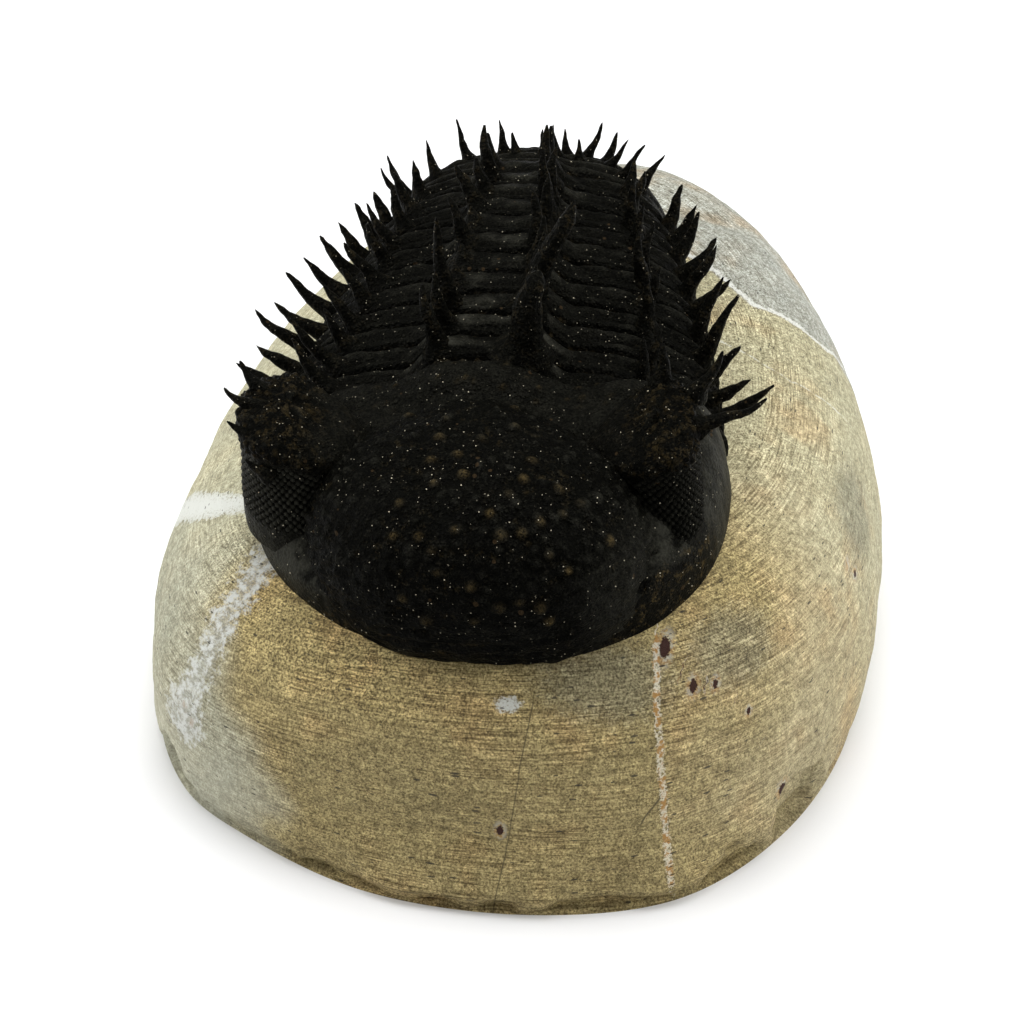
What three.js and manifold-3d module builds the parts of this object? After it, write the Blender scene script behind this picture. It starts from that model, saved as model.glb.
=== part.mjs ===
// A spiny trilobite, prone on the ground-down block of limestone that it was found in.
// Millimetres, +Z up. The animal lies along Y with its head towards -Y, and the block stands on its flat sawn base
// at Z = 0, with the origin under the middle of the block.
//
// The animal is laid out in body coordinates (x, s, h): x across, s along the back from the rear edge of the head
// shield (negative over the head, positive towards the tail) and h above the sole. place() lays them on the block.
import * as THREE from "three";
import { mergeVertices } from "three/addons/utils/BufferGeometryUtils.js";
import Module from "manifold-3d";

// Driving dimensions
const HEAD_LENGTH = 39.5;
const HEAD_HALF_WIDTH = 35;
const THORAX_LENGTH = 57;
const SEGMENTS = 11;
const TAIL_LENGTH = 18;
const SEAM = 0.35; // clear gap between neighbouring plates, and between the plates and the stone
const SOLE_HEIGHT = 41; // sole of the animal above the sawn base

// How the animal lies
const HEAD_REAR_Y = -28.5;
const BODY_X = -4;
const HEAD_TURN = 0.11; // sideways shift of the head towards +X for each millimetre in front of its rear edge
const TAIL_TURN = 0.045; // sideways shift per mm behind the flat part of the sole
const FLAT_LENGTH = 20; // of the thorax, before the back bends down towards the tail
const BEND_RADIUS = 260; // at the sole
const ROLL = 5; // degrees, the left side sinks
const ROOT_DEPTH = 12; // how far each plate reaches below the sole before the stone trims it
const ROUNDNESS = 0.55; // power that rounds the edge of the block's crown and of the armour's dome

const DEGREE = Math.PI / 180;
const FULL_TURN = 2 * Math.PI;
const { clamp, lerp, smoothstep } = THREE.MathUtils;

const wasm = await Module();
wasm.setup();

// Body coordinates to the block: the sole is flat, then follows an arc, and the whole animal leans over by its roll.
function place(x, s, h) {
  const across = x * Math.cos(ROLL * DEGREE) - h * Math.sin(ROLL * DEGREE);
  const up = x * Math.sin(ROLL * DEGREE) + h * Math.cos(ROLL * DEGREE);
  const bend = Math.max(0, s - FLAT_LENGTH) / BEND_RADIUS;
  const along = Math.min(s, FLAT_LENGTH) + (BEND_RADIUS + up) * Math.sin(bend);
  const rise = (BEND_RADIUS + up) * Math.cos(bend) - BEND_RADIUS;
  const turned = BODY_X - HEAD_TURN * Math.min(0, s) - TAIL_TURN * Math.max(0, s - FLAT_LENGTH);
  return new THREE.Vector3(turned + across, HEAD_REAR_Y + along, SOLE_HEIGHT + rise);
}

// A closed surface through a list of rings of points, with each end closed to the middle of its ring. Staggered rings
// stand half a step apart in turn, so that they are joined by a lattice of even triangles.
function loft(rings, staggered = false) {
  const count = rings[0].length;
  const points = rings.flat();
  const middle = points.length;
  for (const ring of [rings[0], rings[rings.length - 1]]) {
    points.push(ring.reduce((sum, p) => sum.add(p), new THREE.Vector3()).divideScalar(count));
  }
  const faces = [];
  for (let k = 0; k < rings.length - 1; k++) {
    for (let i = 0; i < count; i++) {
      const a = k * count + i;
      const b = k * count + ((i + 1) % count);
      if (staggered && k % 2 === 0) faces.push(a, b, a + count, b, b + count, a + count);
      else faces.push(a, b, b + count, a, b + count, a + count);
    }
  }
  const last = (rings.length - 1) * count;
  for (let i = 0; i < count; i++) {
    const next = (i + 1) % count;
    faces.push(middle, next, i, middle + 1, last + i, last + next);
  }
  return solid(new THREE.BufferGeometry().setFromPoints(points).setIndex(faces));
}

// A geometry as a solid, turned round if its faces point inwards.
function solid(geometry) {
  const merged = mergeVertices(geometry, 1e-4);
  const triVerts = new Uint32Array(merged.index.array);
  const vertProperties = new Float32Array(merged.attributes.position.array);
  const make = () => new wasm.Manifold(new wasm.Mesh({ numProp: 3, vertProperties, triVerts }));
  const made = make();
  if (made.volume() > 0) return made;
  for (let i = 0; i < triVerts.length; i += 3) {
    [triVerts[i + 1], triVerts[i + 2]] = [triVerts[i + 2], triVerts[i + 1]];
  }
  return make();
}

const joined = (solids) => solids.reduce((whole, piece) => whole.add(piece));

// A ring of points, one at each of count equal steps of angle.
function ringOf(count, pointAt) {
  return Array.from({ length: count }, (_, i) => pointAt((i / count) * FULL_TURN));
}

// The block: a cobble ground smooth round the animal, with a sawn base whose rim is chipped.
const STONE_SIDES = 44;
const BELLY_HEIGHT = 12;
const RIM_HEIGHT = 3;
const RIM_SPREAD = 1.01; // width of the block at the rim's upper edge, as a share of the base
const TOP_SHARES = [1, 0.97, 0.93, 0.87, 0.78, 0.66, 0.5, 0.25]; // widths of the rings from the belly in to the crown
const SIDE_SQUARENESS = 3.6; // power of the curve from the belly to the crown at the sides
const END_SQUARENESS = 7.6; // the same at the two ends
const closedCurve = (points) =>
  new THREE.CatmullRomCurve3(points.map(([x, y]) => new THREE.Vector3(x, y, 0)), true, "centripetal");
const BELLY = closedCurve([
  [54.5, -12], [51.5, 14], [43.5, 38], [32.5, 60], [12.5, 78], [-12.5, 76], [-33.5, 60], [-45.5, 36], [-52.5, 8],
  [-54.5, -18], [-53.5, -40], [-47.5, -57], [-34.5, -68], [-14.5, -74], [9.5, -75], [29.5, -69], [44.5, -55],
  [52.5, -36],
]);
const BASE = closedCurve([
  [51.5, -12], [48.5, 12], [40.5, 35], [29.5, 55], [11.5, 73], [-11.5, 71], [-30.5, 56], [-42.5, 34], [-49.5, 8],
  [-51.5, -18], [-52.5, -44], [-44.5, -61], [-33.5, -69], [-14.5, -77], [9.5, -78], [29.5, -72], [43.5, -57],
  [51.5, -36],
]);

// Height of the ground surface over a point of the plan, before the sides round it off.
function stoneTop(x, y) {
  const covered = Math.min(y - HEAD_REAR_Y, THORAX_LENGTH + TAIL_LENGTH);
  const bend = Math.max(0, covered - FLAT_LENGTH) / BEND_RADIUS;
  return SOLE_HEIGHT - BEND_RADIUS * (1 - Math.sqrt(1 - bend * bend)) + (x - BODY_X) * Math.tan(ROLL * DEGREE);
}

function stoneBlock() {
  const outline = (curve, scale, height) =>
    Array.from({ length: STONE_SIDES }, (_, i) => {
      const p = curve.getPoint(i / STONE_SIDES);
      return new THREE.Vector3(p.x * scale, p.y * scale, height(p.x * scale, p.y * scale, Math.atan2(p.y, p.x)));
    });
  const ground = () => 0;
  const rings = [outline(BASE, 0.5, ground), outline(BASE, 1, ground), outline(BASE, RIM_SPREAD, () => RIM_HEIGHT)];
  for (const share of TOP_SHARES) {
    rings.push(
      outline(BELLY, share, (x, y, angle) => {
        const squareness = lerp(SIDE_SQUARENESS, END_SQUARENESS, Math.sin(angle) ** 2);
        return lerp(BELLY_HEIGHT, stoneTop(x, y), (1 - share ** squareness) ** ROUNDNESS);
      }),
    );
  }
  return loft(rings);
}

const stone = stoneBlock();
const trimmer = stone.translate([0, 0, SEAM]);

const AXIS_FLANK = [0.4, 1.05]; // where the axis falls to the dome, as shares of its half-width

// Height of the armour over the sole at x: a domed sheet of half-width w and height h, with the axis above it.
function armour(x, { w, h, axisHalf, axisRise }) {
  const out = Math.min(1, Math.abs(x) / w);
  const plateau = 1 - smoothstep(Math.abs(x) / axisHalf, ...AXIS_FLANK);
  return h * (1 - out ** 3) ** ROUNDNESS + axisRise * plateau;
}

const ROOT_SHARE = 0.97; // width of a plate below the sole, as a share of its full width
const SECTION_SHARES = [-1, -0.93, -0.8, -0.62, -0.42, -0.3, -0.18, 0, 0.18, 0.3, 0.42, 0.62, 0.8, 0.93, 1];

// Closed cross-section of the armour at s, pushed out by lift.
function section(s, shape, lift = 0) {
  const { w } = shape;
  const top = SECTION_SHARES.map((share) => place((w + lift) * share, s, armour(w * share, shape) + lift));
  return [...top, place(w * ROOT_SHARE, s, -ROOT_DEPTH), place(-w * ROOT_SHARE, s, -ROOT_DEPTH)];
}

// The shape of the thorax and tail at s: it narrows to the tail, where the axis sinks into the dome, and closes there.
function trunk(s) {
  const t = clamp(s / THORAX_LENGTH, 0, 1);
  const tail = clamp((s - THORAX_LENGTH) / TAIL_LENGTH, 0, 1);
  const closing = Math.sqrt(1 - tail ** 3);
  return {
    w: (34 - 11 * t ** 1.2) * closing,
    h: (12.5 + 1.5 * t) * closing,
    axisHalf: (12.2 - 3.7 * t) * (1 - 0.5 * tail),
    axisRise: (5.8 - t - 3.3 * t ** 3) * (1 - 0.8 * tail),
  };
}

const SPINE_SIDES = 4;
const SPINE_BOW = 0.08; // how far the knee stands off the straight line, as a share of the length
const KNEE_SHARE = 0.62; // radius at the knee
const TIP_SHARE = 0.12; // radius at the tip

// A spine: a cone with four sides, from a root below the surface through a knee to its tip.
function spine(root, tip, radius) {
  const axis = new THREE.Vector3().subVectors(tip, root);
  const side = new THREE.Vector3(0, 1, 0).cross(axis).normalize();
  const front = new THREE.Vector3().crossVectors(axis, side).normalize();
  const knee = root.clone().lerp(tip, 0.5).addScaledVector(front, -SPINE_BOW * axis.length());
  const ring = (centre, r) =>
    ringOf(SPINE_SIDES, (a) =>
      centre.clone().addScaledVector(side, r * Math.cos(a)).addScaledVector(front, r * Math.sin(a)),
    );
  return loft([ring(root, radius), ring(knee, radius * KNEE_SHARE), ring(tip, radius * TIP_SHARE)]);
}

// A spine that stands at (x, s, h), leaning out and back by angles in degrees. Its root is 1 mm below that point.
function standingSpine(x, s, h, [length, out, back], radius) {
  const lean = Math.tan(out * DEGREE) * Math.sign(x);
  const rake = Math.tan(back * DEGREE);
  const rise = length / Math.hypot(1, lean, rake);
  return spine(place(x - lean, s - rake, h - 1), place(x + lean * rise, s + rake * rise, h + rise), radius);
}

// A spine that stands on the trunk at (x, s).
const trunkSpine = (x, s, size, radius) => standingSpine(x, s, armour(x, trunk(s)), size, radius);

// The rows of spines, as [length, lean outwards, lean backwards] for each segment from the head to the tail.
const AXIAL_LEFT = [
  [10, 8, 4], [9, 3, 0], [14, 4, 4], [3, 8, 5], [3, 5, 5], [8, 18, 4], [3, 8, 5], [8, 25, 5], [6, 10, 5], [9, 2, 6],
  [6, 8, 8],
];
const AXIAL_RIGHT = [
  [13, 14, 0], [10, 12, 4], [18, 24, 6], [9, 14, 4], [8, 12, 4], [9, -2, 4], [8, 12, 6], [10, 4, 5], [8, 16, 6],
  [9, 2, 6], [7, 4, 8],
];
const INNER_LEFT = [
  [9, 30, 8], [10, 38, 4], [7, 24, 0], [8, 36, 5], [7, 28, 0], [8, 34, 5], [7, 20, 5], [8, 30, 6], [7, 12, 5],
  [7, 24, 8], [6, 12, 8],
];
const INNER_RIGHT = [
  [9, 0, 4], [7, 20, 5], [3, 10, 5], [9, 4, 4], [7, 24, 5], [9, 0, 4], [7, 22, 5], [7, 12, 5], [8, 2, 6],
  [7, 22, 8], [6, 14, 8],
];
const OUTER_LEFT = [
  [6, 50, 0], [9, 54, 0], [8, 50, -4], [11, 46, 0], [9, 52, -4], [10, 44, 0], [9, 42, -2], [9, 36, 0], [8, 32, 0],
  [8, 26, 4], [7, 20, 6],
];
const OUTER_RIGHT = [
  [12, 56, -4], [8, 60, -8], [8, 46, 0], [12, 30, 4], [11, 24, 2], [9, 44, 0], [10, 30, 4], [9, 40, 4], [9, 26, 6],
  [8, 34, 8], [8, 22, 8],
];

// Where the rows stand, and the radius of their spines at the root
const SPINE_PLACE = 0.6; // of a segment's length
const AXIAL_PLACE = 0.5; // of the axis's half-width
const INNER_PLACE = 0.68; // of the segment's half-width
const OUTER_PLACE = 0.92;
const AXIAL_RADIUS = 1.5;
const INNER_RADIUS = 1.4;
const OUTER_RADIUS = 1.5;

// How far a segment is raised at shares of its length
const SEGMENT_PROFILE = [
  [0, -0.9],
  [0.3, 0.1],
  [1, -0.2],
];

// One segment of the thorax: a band whose front edge tucks under, with three pairs of spines.
function thoraxSegment(index) {
  const pitch = THORAX_LENGTH / SEGMENTS;
  const start = index * pitch + SEAM / 2;
  const length = pitch - SEAM;
  const shape = trunk(start);
  const pieces = [loft(SEGMENT_PROFILE.map(([share, lift]) => section(start + share * length, shape, lift)))];
  const s = start + length * SPINE_PLACE;
  const axial = shape.axisHalf * AXIAL_PLACE;
  const inner = shape.w * INNER_PLACE;
  const outer = shape.w * OUTER_PLACE;
  pieces.push(
    trunkSpine(-axial, s, AXIAL_LEFT[index], AXIAL_RADIUS),
    trunkSpine(axial, s, AXIAL_RIGHT[index], AXIAL_RADIUS),
    trunkSpine(-inner, s, INNER_LEFT[index], INNER_RADIUS),
    trunkSpine(inner, s, INNER_RIGHT[index], INNER_RADIUS),
    trunkSpine(-outer, s, OUTER_LEFT[index], OUTER_RADIUS),
    trunkSpine(outer, s, OUTER_RIGHT[index], OUTER_RADIUS),
  );
  return joined(pieces);
}

const TAIL_RIBS = 5;
const TAIL_END = 0.2; // left off the closing tip
const TAIL_CROWDING = 1.4; // how much closer the sections stand towards the tip
const RIB_LIFTS = [-0.4, 0.2];
// Spines of the tail shield: x, how far behind its front edge, size and radius
const TAIL_SPINES = [
  { x: -20.5, behind: 4, size: [7, 32, 6], radius: 0.9 },
  { x: -19, behind: 1.5, size: [8, 26, 6], radius: 1 },
  { x: -15, behind: 5, size: [6, 14, 6], radius: 0.9 },
  { x: -10, behind: 9.5, size: [7, 16, 6], radius: 0.9 },
  { x: -3.7, behind: 6.5, size: [5.5, 8, 6], radius: 0.9 },
  { x: -1.9, behind: 5, size: [3.5, 6, 6], radius: 0.8 },
  { x: 2.6, behind: 5, size: [4, 2, 6], radius: 0.8 },
  { x: 4.5, behind: 6, size: [5, -2, 6], radius: 0.9 },
  { x: 6.2, behind: 9, size: [4.5, -4, 6], radius: 0.8 },
  { x: 8.5, behind: 6, size: [3.5, -2, 6], radius: 0.8 },
  { x: 9.2, behind: 11, size: [6.5, 24, 6], radius: 0.9 },
  { x: 12.2, behind: 10.5, size: [5.5, 22, 6], radius: 0.9 },
  { x: 13, behind: 7, size: [5.5, 38, 6], radius: 0.8 },
  { x: 15, behind: 4, size: [6.5, 40, 6], radius: 0.9 },
  { x: 18, behind: 3, size: [7, 38, 6], radius: 1 },
];

// The tail shield: five ribs across a dome that closes to the rear, with a crowd of small spines.
function pygidium() {
  const start = THORAX_LENGTH + SEAM / 2;
  const steps = TAIL_RIBS * 2;
  const rings = [];
  for (let k = 0; k <= steps; k++) {
    const s = start + (1 - (1 - k / steps) ** TAIL_CROWDING) * (TAIL_LENGTH - TAIL_END);
    rings.push(section(s, trunk(s), RIB_LIFTS[k % 2]));
  }
  const pieces = [loft(rings)];
  for (const { x, behind, size, radius } of TAIL_SPINES) {
    pieces.push(trunkSpine(x, start + behind, size, radius));
  }
  return joined(pieces);
}

const GLABELLA_COLUMNS = 36;
const GLABELLA_ROWS = 15;
const GLABELLA_CENTRE_S = -21;
const GLABELLA_HALF_WIDTH = 24;
const GLABELLA_BEHIND = 19.5; // reach behind its centre
const GLABELLA_BEFORE = 19; // reach in front of its centre
const GLABELLA_BASE = 4; // height of its widest ring
const GLABELLA_CROWN = 15.5; // height of its crown over that ring
const GLABELLA_RISE = [-60, 84]; // degrees, from the lip underneath to the crown
const GLABELLA_NARROWING = 0.34; // share of the width lost towards the neck
const KNOB_RISE = -20; // degrees, the lowest tubercles
const TUBERCLE = 0.8;

// The glabella, the swollen middle of the head: pear-shaped in plan, on a lattice whose every third point is the tip
// of a tubercle.
function glabella() {
  const rings = [];
  for (let row = 0; row < GLABELLA_ROWS; row++) {
    const rise = lerp(...GLABELLA_RISE, row / (GLABELLA_ROWS - 1)) * DEGREE;
    const r = Math.cos(rise) ** 0.8;
    const level = Math.sign(rise) * Math.abs(Math.sin(rise)) ** 0.9;
    const odd = row % 2;
    rings.push(
      Array.from({ length: GLABELLA_COLUMNS }, (_, column) => {
        const angle = ((column + odd / 2) / GLABELLA_COLUMNS) * FULL_TURN;
        const diagonal = column - (row - odd) / 2 - row;
        const raised = diagonal % 3 === 0 && rise > KNOB_RISE * DEGREE ? TUBERCLE : 0;
        const backward = Math.sin(angle);
        const halfWidth = GLABELLA_HALF_WIDTH * (1 - GLABELLA_NARROWING * smoothstep(backward, 0, 1));
        const reach = backward > 0 ? GLABELLA_BEHIND : GLABELLA_BEFORE;
        const x = (halfWidth * r + raised) * Math.cos(angle);
        const s = GLABELLA_CENTRE_S + (reach * r + raised) * backward;
        const h = GLABELLA_BASE + (GLABELLA_CROWN + raised) * level;
        return place(x, Math.min(s, -2), h);
      }),
    );
  }
  return loft(rings, true);
}

const SHIELD_STOPS = [-34.5, -32, -27, -21, -14, -5.6];
const SHIELD_HEIGHT = 11;
const BORDER = { w: HEAD_HALF_WIDTH - 0.5, h: 12.5, axisHalf: 13, axisRise: 5.3 };
const BORDER_PROFILE = [
  [-5.9, -0.9],
  [-4.6, 0],
  [-1.4, 0.2],
  [-SEAM / 2, -0.6],
];

// The shield under the glabella and the eyes, with the raised border and the neck ring behind it.
function headShield() {
  const rings = SHIELD_STOPS.map((s) => {
    const w = HEAD_HALF_WIDTH * Math.sqrt(1 - (-s / (HEAD_LENGTH - 2.5)) ** 2.7);
    return section(s, { w, h: SHIELD_HEIGHT * Math.sqrt(w / HEAD_HALF_WIDTH), axisHalf: 12, axisRise: 1 });
  });
  return joined([loft(rings), loft(BORDER_PROFILE.map(([s, lift]) => section(s, BORDER, lift)))]);
}

const EYE_COLUMNS = 16;
const EYE_X = 25.8;
const EYE_S = -13.5;
const EYE_HALF_WIDTH = 8;
const EYE_HALF_LENGTH = 9.8;
const EYE_INNER_REACH = 3; // of the lid, further in towards the glabella
const LID_SLOPE = 4; // how far the inner edge of the lid lies below its outer edge
const LID_ROOT = 10; // height from which the eye reaches further in
const LID_HEIGHT = 15; // height from which it is lowered
// Heights up the eye, and the share of its size there
const EYE_LEVELS = [
  [0, 1.05],
  [6, 1.02],
  [12, 0.93],
  [17.5, 0.95],
  [19, 0.86],
  [19.8, 0.5],
];

// An eye: a turret with a crescent wall of lenses and a domed lid that slopes in towards the glabella.
function eye(side) {
  const rings = EYE_LEVELS.map(([h, size]) =>
    ringOf(EYE_COLUMNS, (a) => {
      const inward = Math.max(0, -Math.cos(a));
      const reach = EYE_HALF_WIDTH + (h > LID_ROOT ? EYE_INNER_REACH * inward : 0);
      const slope = h > LID_HEIGHT ? LID_SLOPE * inward * size : 0;
      const x = EYE_X + reach * size * Math.cos(a);
      return place(side * x, EYE_S + EYE_HALF_LENGTH * size * Math.sin(a), h - slope);
    }),
  );
  return loft(rings);
}

// Spines of the head, round the lids of the eyes
const HEAD_SPINES = [
  { at: [-31, -13, 19], size: [4.5, 50, 0], radius: 1.2 },
  { at: [-30, -9, 19], size: [5, 30, 4], radius: 1.2 },
  { at: [-31, -18, 18], size: [3.5, 50, -6], radius: 1.1 },
  { at: [32, -14, 18], size: [9, 62, 0], radius: 1.2 },
  { at: [31, -8, 19], size: [7, 30, 6], radius: 1.1 },
  { at: [26, -6, 19], size: [6, 5, 4], radius: 1.2 },
  { at: [25, -15, 19], size: [3, 5, 0], radius: 1 },
];

function cephalon() {
  const spines = HEAD_SPINES.map(({ at, size, radius }) => standingSpine(...at, size, radius));
  return joined([headShield(), glabella(), eye(-1), eye(1), ...spines]);
}

function named(name, made, colour, roughness) {
  const mesh = made.getMesh();
  const geometry = new THREE.BufferGeometry();
  geometry.setAttribute("position", new THREE.BufferAttribute(mesh.vertProperties, 3));
  geometry.setIndex(new THREE.BufferAttribute(mesh.triVerts, 1));
  geometry.computeVertexNormals();
  const material = new THREE.MeshStandardMaterial({ color: colour, roughness, metalness: 0 });
  const object = new THREE.Mesh(geometry, material);
  object.name = name;
  return object;
}

const BEIGE = 0xb5a67f;
const BLACK = 0x1c1b18;
const STONE_ROUGHNESS = 0.9;
const ARMOUR_ROUGHNESS = 0.55;
const plate = (name, made) => named(name, made.subtract(trimmer), BLACK, ARMOUR_ROUGHNESS);

const fossil = new THREE.Group();
fossil.add(named("matrix_block", stone, BEIGE, STONE_ROUGHNESS));
fossil.add(plate("cephalon", cephalon()));
for (let index = 0; index < SEGMENTS; index++) {
  fossil.add(plate("thorax_segment_" + String(index + 1).padStart(2, "0"), thoraxSegment(index)));
}
fossil.add(plate("pygidium", pygidium()));

export default fossil;
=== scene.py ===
"""Looks of a spiny trilobite on its ground block of limestone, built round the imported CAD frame.

Shapes are worked out in millimetres. The animal has body coordinates: x across, s along the back from the
rear edge of the head (negative over the head) and h above the sole. place() lays them on the block. Left and
right are as seen from in front of the head.
"""

import math

import bpy
import numpy as np
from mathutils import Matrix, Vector


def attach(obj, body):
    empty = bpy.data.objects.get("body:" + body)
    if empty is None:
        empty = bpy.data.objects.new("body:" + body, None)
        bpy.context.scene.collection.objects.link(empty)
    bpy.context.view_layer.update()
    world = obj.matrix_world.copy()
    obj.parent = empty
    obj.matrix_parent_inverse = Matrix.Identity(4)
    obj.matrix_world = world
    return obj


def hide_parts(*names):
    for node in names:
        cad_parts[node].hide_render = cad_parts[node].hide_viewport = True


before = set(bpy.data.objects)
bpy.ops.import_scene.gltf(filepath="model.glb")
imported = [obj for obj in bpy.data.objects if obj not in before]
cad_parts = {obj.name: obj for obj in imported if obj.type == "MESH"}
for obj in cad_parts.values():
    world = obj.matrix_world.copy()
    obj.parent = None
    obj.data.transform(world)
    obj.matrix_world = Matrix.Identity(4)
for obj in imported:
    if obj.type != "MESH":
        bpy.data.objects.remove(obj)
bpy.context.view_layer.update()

bl_info = {
    "name": "Spiny trilobite on its block",
    "version": (1, 0, 0),
    "blender": (4, 5, 0),
    "location": "View3D > Sidebar > Fossil",
    "description": "Builds the armour, spines and ground limestone of a spiny trilobite fossil",
    "category": "Object",
}

MM = 0.001
DEGREE = math.pi / 180
CREASE = 60 * DEGREE

# The animal and how it lies, in millimetres, as in the CAD
HEAD_LENGTH = 39.5
HEAD_HALF_WIDTH = 35
THORAX_LENGTH = 57
SEGMENTS = 11
TAIL_LENGTH = 18
SEAM = 0.35
SOLE_HEIGHT = 41
HEAD_REAR_Y = -28.5
BODY_X = -4
HEAD_TURN = 0.11
TAIL_TURN = 0.045
FLAT_LENGTH = 20
BEND_RADIUS = 260
ROLL = 5 * DEGREE
ROOT_DEPTH = 12


# Small tools for whole arrays


def smooth(value, low, high):
    """The smooth step from 0 at low to 1 at high."""
    t = np.clip((value - low) / (high - low), 0, 1)
    return t * t * (3 - 2 * t)


def swell(value, centre, reach):
    """A smooth hump: 1 at centre, gone at reach to either side."""
    t = np.clip(1 - ((value - centre) / reach) ** 2, 0, 1)
    return t * t


def grain(points, size, seed=0):
    """Smooth random relief from -1 to 1: random values on a cubic lattice of this size, blended between."""
    scaled = points / size
    cell = np.floor(scaled).astype(np.int64)
    part = scaled - cell
    part = part * part * (3 - 2 * part)
    total = np.zeros(points.shape[:-1])
    for corner in np.ndindex(2, 2, 2):
        c = cell + np.array(corner)
        n = (c[..., 0] * 73856093) ^ (c[..., 1] * 19349663) ^ (c[..., 2] * 83492791) ^ (seed * 2654435)
        n = ((n ^ (n >> 13)) * 1274126177) & 0x7FFFFFFF
        n = ((n ^ (n >> 15)) * 97531357) & 0x7FFFFFFF
        weight = np.prod(np.where(np.array(corner) == 1, part, 1 - part), axis=-1)
        total += weight * (n / 0x3FFFFFFF - 1)
    return total


def together(*values):
    """The values side by side, as the last axis of one array."""
    return np.stack(np.broadcast_arrays(*values), axis=-1)


def running_length(steps):
    """How far along each stop of a line is, from the lengths of the steps between its stops."""
    return np.concatenate([[0], np.cumsum(steps)])


def patches_of(points):
    """The cross product of the two directions of a grid that is closed along its second axis."""
    along = np.roll(points, -1, 1) - np.roll(points, 1, 1)
    return np.cross(along, np.gradient(points, axis=0))


def grid_area(points):
    """Area round each point of a grid closed along its second axis."""
    return np.linalg.norm(patches_of(points), axis=-1)


def outwards_of(points, middle):
    """Unit normals of a grid closed along its second axis, turned to point away from its middle."""
    normal = patches_of(points)
    normal = normal / np.maximum(np.linalg.norm(normal, axis=-1, keepdims=True), 1e-9)
    return normal * np.sign(np.sum(normal * (points - np.array(middle)), axis=-1, keepdims=True))


def place(x, s, h):
    """Body coordinates to the block's frame: the sole is flat, then follows an arc, and the animal leans.

    Sideways the head turns one way from the body's line, and the trunk the other way behind the flat length.
    """
    x, s, h = np.broadcast_arrays(x, s, h)
    across = x * math.cos(ROLL) - h * math.sin(ROLL)
    up = x * math.sin(ROLL) + h * math.cos(ROLL)
    bend = np.maximum(0, s - FLAT_LENGTH) / BEND_RADIUS
    along = np.minimum(s, FLAT_LENGTH) + (BEND_RADIUS + up) * np.sin(bend)
    rise = (BEND_RADIUS + up) * np.cos(bend) - BEND_RADIUS
    turned = BODY_X - HEAD_TURN * np.minimum(0, s) - TAIL_TURN * np.maximum(0, s - FLAT_LENGTH)
    return together(turned + across, HEAD_REAR_Y + along, SOLE_HEIGHT + rise)


class Skins:
    """The closed skins of one piece. Each is a grid of points in rings, with a pole at either end.

    A skin may be painted: named vectors, one for each point, which the materials read as attributes.
    """

    def __init__(self, *painted):
        self.points, self.faces, self.count = [], [], 0
        self.painted = {name: [] for name in painted}

    def add(self, rings, **paint):
        """Adds a skin. The faces are turned round where the volume that they enclose comes out negative."""
        rows, columns = rings.shape[:2]
        index = np.arange(rows * columns).reshape(rows, columns)
        after = np.roll(index, -1, axis=1)
        quads = np.stack([index[:-1], after[:-1], after[1:], index[1:]], axis=-1).reshape(-1, 4)
        first, last = rows * columns, rows * columns + 1
        fans = np.concatenate(
            [
                np.stack([after[0], index[0], np.full(columns, first)], axis=-1),
                np.stack([index[-1], after[-1], np.full(columns, last)], axis=-1),
            ]
        )
        points = np.concatenate([rings.reshape(-1, 3), rings[[0, -1]].mean(axis=1)])
        triangles = points[np.concatenate([quads[:, :3], quads[:, [0, 2, 3]], fans])]
        volume = np.einsum("ij,ij->", triangles[:, 0], np.cross(triangles[:, 1], triangles[:, 2]))
        if volume < 0:
            quads, fans = quads[:, ::-1], fans[:, ::-1]
        self.points.append(points)
        self.faces += (quads + self.count).tolist() + (fans + self.count).tolist()
        for name, kept in self.painted.items():
            values = paint[name]
            kept.append(np.concatenate([values.reshape(-1, 3), values[[0, -1]].mean(axis=1)]))
        self.count += len(points)

    def build(self, name, material):
        """Makes the mesh object in metres, smooth except at edges sharper than a crease."""
        mesh = bpy.data.meshes.new(name)
        mesh.from_pydata((np.concatenate(self.points) * MM).tolist(), [], self.faces)
        for attribute, values in self.painted.items():
            data = mesh.attributes.new(attribute, "FLOAT_VECTOR", "POINT").data
            data.foreach_set("vector", np.concatenate(values).astype(np.float32).ravel())
        mesh.materials.append(material)
        mesh.shade_smooth()
        mesh.set_sharp_from_angle(angle=CREASE)
        piece = bpy.data.objects.new(name, mesh)
        bpy.context.scene.collection.objects.link(piece)
        return piece


def dress(piece, node):
    """Sets the piece in the place of its CAD node."""
    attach(piece, "root")
    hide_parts(node)


# The ground block

BELLY_HEIGHT = 12
RIM_HEIGHT = 3
RIM_WIDENING = 0.01  # how far the rim widens to its top, as a share of the base
BASE_SHARES = (0.3, 0.7, 0.95, 0.99, 1)  # rings of the base, as shares of its outline
RIM_ROWS = 8
CROWN_ROWS = 12  # rings of the part of the top that the animal covers
CROWN_SHARE = 0.6  # size of the covered part of the top, as a share of the belly
CROWN_END = 0.98  # where its last ring lies, as a share of the way up
TOP_REACH, TOP_RISE = 55, 29  # rough size of the top, by which its rings are spaced
TOP_ROUNDNESS = 0.55
BLOCK_MIDDLE = (0, 0, 15)
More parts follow.
